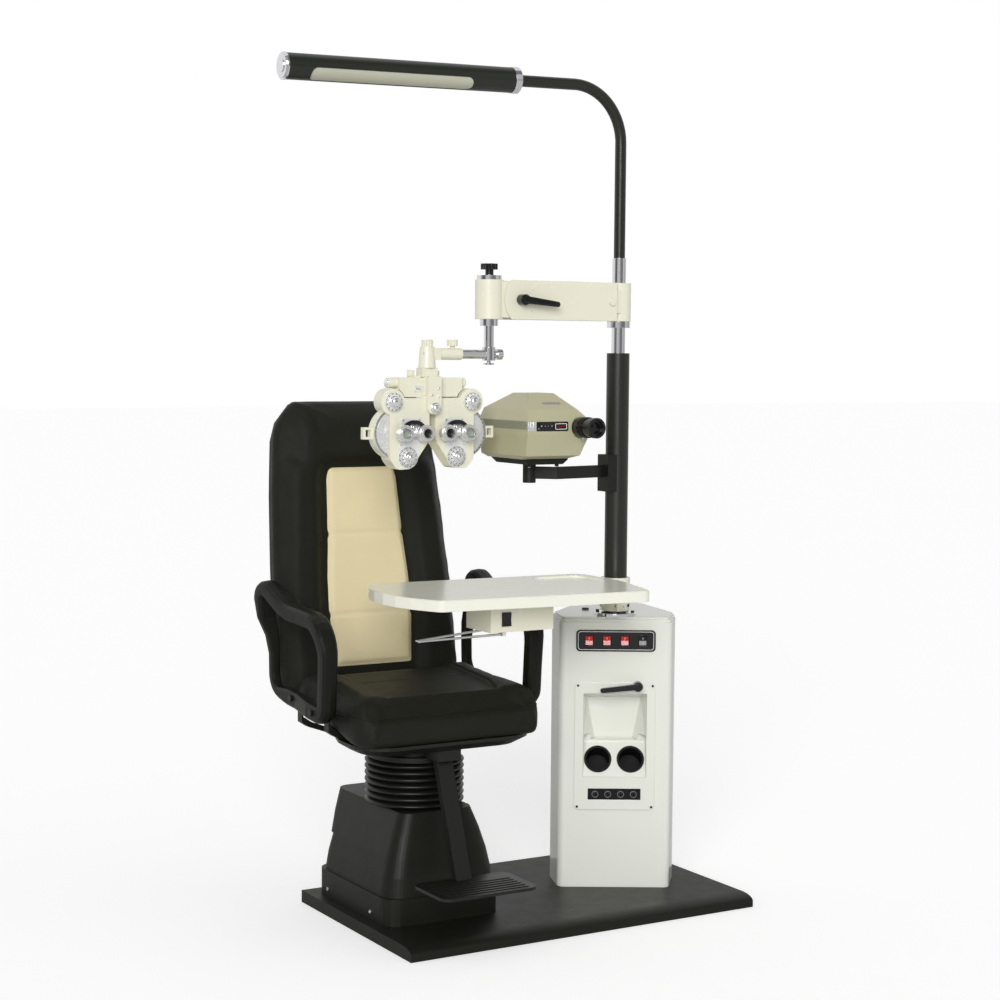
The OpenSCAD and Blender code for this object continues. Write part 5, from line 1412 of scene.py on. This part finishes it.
@dataclass
class Gaiter(Assembly):
    """Ribbed rubber skin from the cover up to the lift."""
    origin: Point = CHAIR
    low: float = 286.5
    high: float = 397.5
    outer: float = 120.0
    fold: float = 13.0
    wall: float = 2.5
    ribs: int = 7

    def build(self) -> None:
        """Rolls a grid into a ribbed tube and stretches it between base and lift."""
        foot, top = (self.at(0, 0, z) for z in (self.low, self.high))
        Bench.clear()
        bpy.ops.mesh.primitive_grid_add(x_subdivisions=ROUND_CELLS, y_subdivisions=self.ribs * RIB_CELLS, size=2.0)
        obj = bpy.context.object
        for vertex in obj.data.vertices:
            turn, share = math.pi * (vertex.co.x + 1), (vertex.co.y + 1) / 2
            swell = abs(math.sin(math.pi * self.ribs * share)) ** 0.6
            out = Vector((math.cos(turn), math.sin(turn), 0)) * (self.outer - self.fold * (1 - swell)) / PER_METRE
            vertex.co = foot.lerp(top, share) + out
        Bench.pick(obj, lambda f: True)
        bpy.ops.mesh.remove_doubles(threshold=SEAM_GAP)
        Bench.outward()
        Bench.apply(obj, "SOLIDIFY", thickness=self.wall / PER_METRE, offset=-1.0)
        obj.name = obj.data.name = "gaiter"
        Bench.smooth(obj, RIB_ANGLE)
        self.shop.coat(obj, "bellows_rubber")
        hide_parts("bellows")
        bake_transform(obj)
        LOG.info("%s made", obj.name)


@dataclass
class Lead:
    """The free stretch of mains lead from the pole down into the console."""
    shop: Paintshop
    start: Point = (0.0, 33.5, 912.0)
    radius: float = 2.55
    rise: tuple[Point, ...] = ((0, -6, 0), (0, 6, 0), (-2, 22, -3), (-5, 44, -12), (-8, 64, -28), (-10, 78, -52),
                               (-11, 86, -82), (-11, 88, -114), (-10, 88, -146), (-10, 88, -172), (-10, 88, -196))

    def route(self) -> list[Vector]:
        """Points along the lead's middle, in metres."""
        place = console_place()
        knots = [Vector(self.start) + Vector(step) for step in self.rise]
        fine = []
        for i in range(len(knots) - 1):
            a, b, c, d = knots[max(0, i - 1)], knots[i], knots[i + 1], knots[min(len(knots) - 1, i + 2)]
            for s in shares(4)[:-1]:
                fine.append(0.5 * (2 * b + (c - a) * s + (2 * a - 5 * b + 4 * c - d) * s * s
                                   + (3 * b - a - 3 * c + d) * s * s * s))
        fine.append(knots[-1])
        return [place @ (p / PER_METRE) for p in fine]

    def build(self) -> None:
        """Makes the lead as a tube along its route and says what it is."""
        points = self.route()
        obj = Bench.wire("lead", points, self.radius / PER_METRE, sides=4)
        self.shop.coat(obj, "lead_rubber")
        length = sum((b - a).length for a, b in zip(points, points[1:]))
        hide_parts("cable")
        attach(obj, "base")
        tuple(points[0])
        [tuple(p) for p in points]
        LOG.info("lead of %.3f m made", length)


# Lights: name, strength, size in degrees and the direction that it comes from
LIGHTS = (("key", 1.9, 31.0, (-2.2, -3.1, 1.35)), ("fill", 0.2, 50.0, (3.0, -2.4, 1.2)),
          ("top", 0.15, 60.0, (-0.4, 0.6, 4.0)))
# Brightness that reflections see round the studio, as pairs of a share of a turn and a level
WALLS = ((0.0, 0.2), (0.08, 0.5), (0.16, 0.6), (0.20, 0.12), (0.27, 0.15), (0.33, 0.8), (0.45, 0.9), (0.5, 0.75),
         (0.6, 0.7), (0.7, 0.85), (0.8, 0.2), (1.0, 0.2))
SOFT_LIGHT = 0.41
FLOOR_SHADE, FLOOR_ROUGHNESS, FLOOR_GLOW = 0.82, 0.9, 0.42


@dataclass
class Studio:
    """Camera, lights, floor and background."""
    spot: Point = (-2.5816, -4.2293, 1.3718)
    yaw: float = 30.53
    pitch: float = 4.21
    roll: float = 0.47
    lens: float = 73.015

    def build(self) -> None:
        """Puts the lights, the world and the floor round the object."""
        bpy.context.scene.view_settings.view_transform = "Standard"
        self.lights()
        self.world()
        self.floor()

    def camera(self) -> None:
        """Camera at the photograph's viewpoint."""
        data = bpy.data.cameras.new("camera")
        data.sensor_width = 36.0
        data.lens = self.lens
        data.clip_end = 60.0
        obj = link_new("camera", data)
        obj.matrix_world = (Matrix.Translation(self.spot) @ Matrix.Rotation(math.radians(-self.yaw), 4, "Z")
                            @ Matrix.Rotation(math.radians(90 - self.pitch), 4, "X")
                            @ Matrix.Rotation(math.radians(self.roll), 4, "Z"))
        bpy.context.scene.camera = obj

    def lights(self) -> None:
        """A broad key from the front left, a weak fill from the right and a weaker top light."""
        for name, strength, size, place in LIGHTS:
            data = bpy.data.lights.new(name, "SUN")
            data.energy = strength
            data.angle = math.radians(size)
            obj = link_new(name, data)
            obj.rotation_mode = "QUATERNION"
            obj.rotation_quaternion = (-UP).rotation_difference(-Vector(place))

    def world(self) -> None:
        """White background, plain soft light, and a studio of bright and dim walls for reflections."""
        world = bpy.data.worlds.new("studio")
        bpy.context.scene.world = world
        world.use_nodes = True
        net = Nodes(world.node_tree)
        ray = net.add("LightPath").outputs
        x, y, _ = net.split(net.add("TexCoord").outputs["Generated"])
        turn = net.add("MapRange", Value=net.math("ARCTAN2", x, y), From_Min=-math.pi, From_Max=math.pi)
        ramp = net.add("ValToRGB", Fac=turn.outputs["Result"])
        elements = ramp.color_ramp.elements
        while len(elements) > 1:
            elements.remove(elements[-1])
        elements[0].position, elements[0].color = WALLS[0][0], grey(WALLS[0][1])
        for where, level in WALLS[1:]:
            elements.new(where).color = grey(level)
        soft, mirror, plain = (net.add("Background", Color=colour).outputs[0]
                               for colour in (grey(SOFT_LIGHT), ramp.outputs[0], grey(1.0)))
        lit = net.either("Mix", ray["Is Glossy Ray"], soft, mirror)
        seen = net.math("MAXIMUM", ray["Is Camera Ray"], ray["Is Transmission Ray"])
        net.join(net.either("Mix", seen, lit, plain), net.add("OutputWorld").inputs[0])

    def floor(self) -> None:
        """Pale floor that shows as white and keeps a faint shadow."""
        Bench.clear()
        bpy.ops.mesh.primitive_plane_add(size=80.0, location=(0, 0, -0.0005))
        obj = bpy.context.object
        obj.name = "floor"
        shader = Shader("floor_white")
        for key, value in (("Base Color", grey(FLOOR_SHADE)), ("Roughness", FLOOR_ROUGHNESS),
                           ("Specular IOR Level", 0.0)):
            shader.surface.inputs[key].default_value = value
        seen = shader.add("LightPath").outputs["Is Camera Ray"]
        glow = shader.add("Emission", Color=grey(1.0), Strength=shader.math("MULTIPLY", seen, FLOOR_GLOW))
        both = shader.either("Add", shader.surface.outputs[0], glow.outputs[0])
        shader.join(both, shader.output.inputs["Surface"])
        obj.data.materials.append(shader.material)


# Inner and outer radius of the printed scales on the dials, in metres
POWER_SCALE: Span = (0.0192, 0.0216)
AXIS_SCALE: Span = (0.0172, 0.0194)


def dress_nodes(shop: Paintshop, nodes: dict[str, Piece]) -> None:
    """Puts each CAD node's finish on it.

    Args:
        shop: builds the finishes.
        nodes: CAD nodes by name.
    """
    for finish, names in FINISH_NODES.items():
        for name in names.split():
            if name in nodes:
                shop.coat(nodes[name], finish)
    for name, x, z, ring in (("left_sphere_dial", -0.402, 1.251, POWER_SCALE),
                             ("right_sphere_dial", -0.192, 1.251, POWER_SCALE),
                             ("left_axis_dial", -0.362, 1.121, AXIS_SCALE),
                             ("right_axis_dial", -0.232, 1.121, AXIS_SCALE)):
        if name in nodes:
            shop.coat(nodes[name], Dial(name + "_scale", (0.86, 0.87, 0.85), 0.28, 0.1, Grain.NONE, 0.0004,
                                        variation=0.02, centre=(x, 0, z), ring=ring))
    if "projector_shell" in nodes:
        shop.coat(nodes["projector_shell"], Striped("projector_coat", (0.50, 0.48, 0.315), 0.36, grain=Grain.PEEL,
                                                    edge=0.003, variation=0.03, low=1.185, high=1.205,
                                                    right=-0.0868))


def main() -> None:
    """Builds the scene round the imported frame."""
    logging.basicConfig(level=logging.INFO, format="%(name)s: %(message)s")
    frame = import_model()
    Bench.clear()
    shop = Paintshop()
    studio = Studio()
    studio.camera()
    Lead(shop).build()
    studio.build()
    dress_nodes(shop, frame["nodes"])
    Chair(shop).build()
    for assembly in (Phoropter(shop), Projector(shop), Console(shop), Trimmings(shop), Gaiter(shop)):
        assembly.build()
    LOG.info("scene built")


if __name__ == "__main__":
    main()
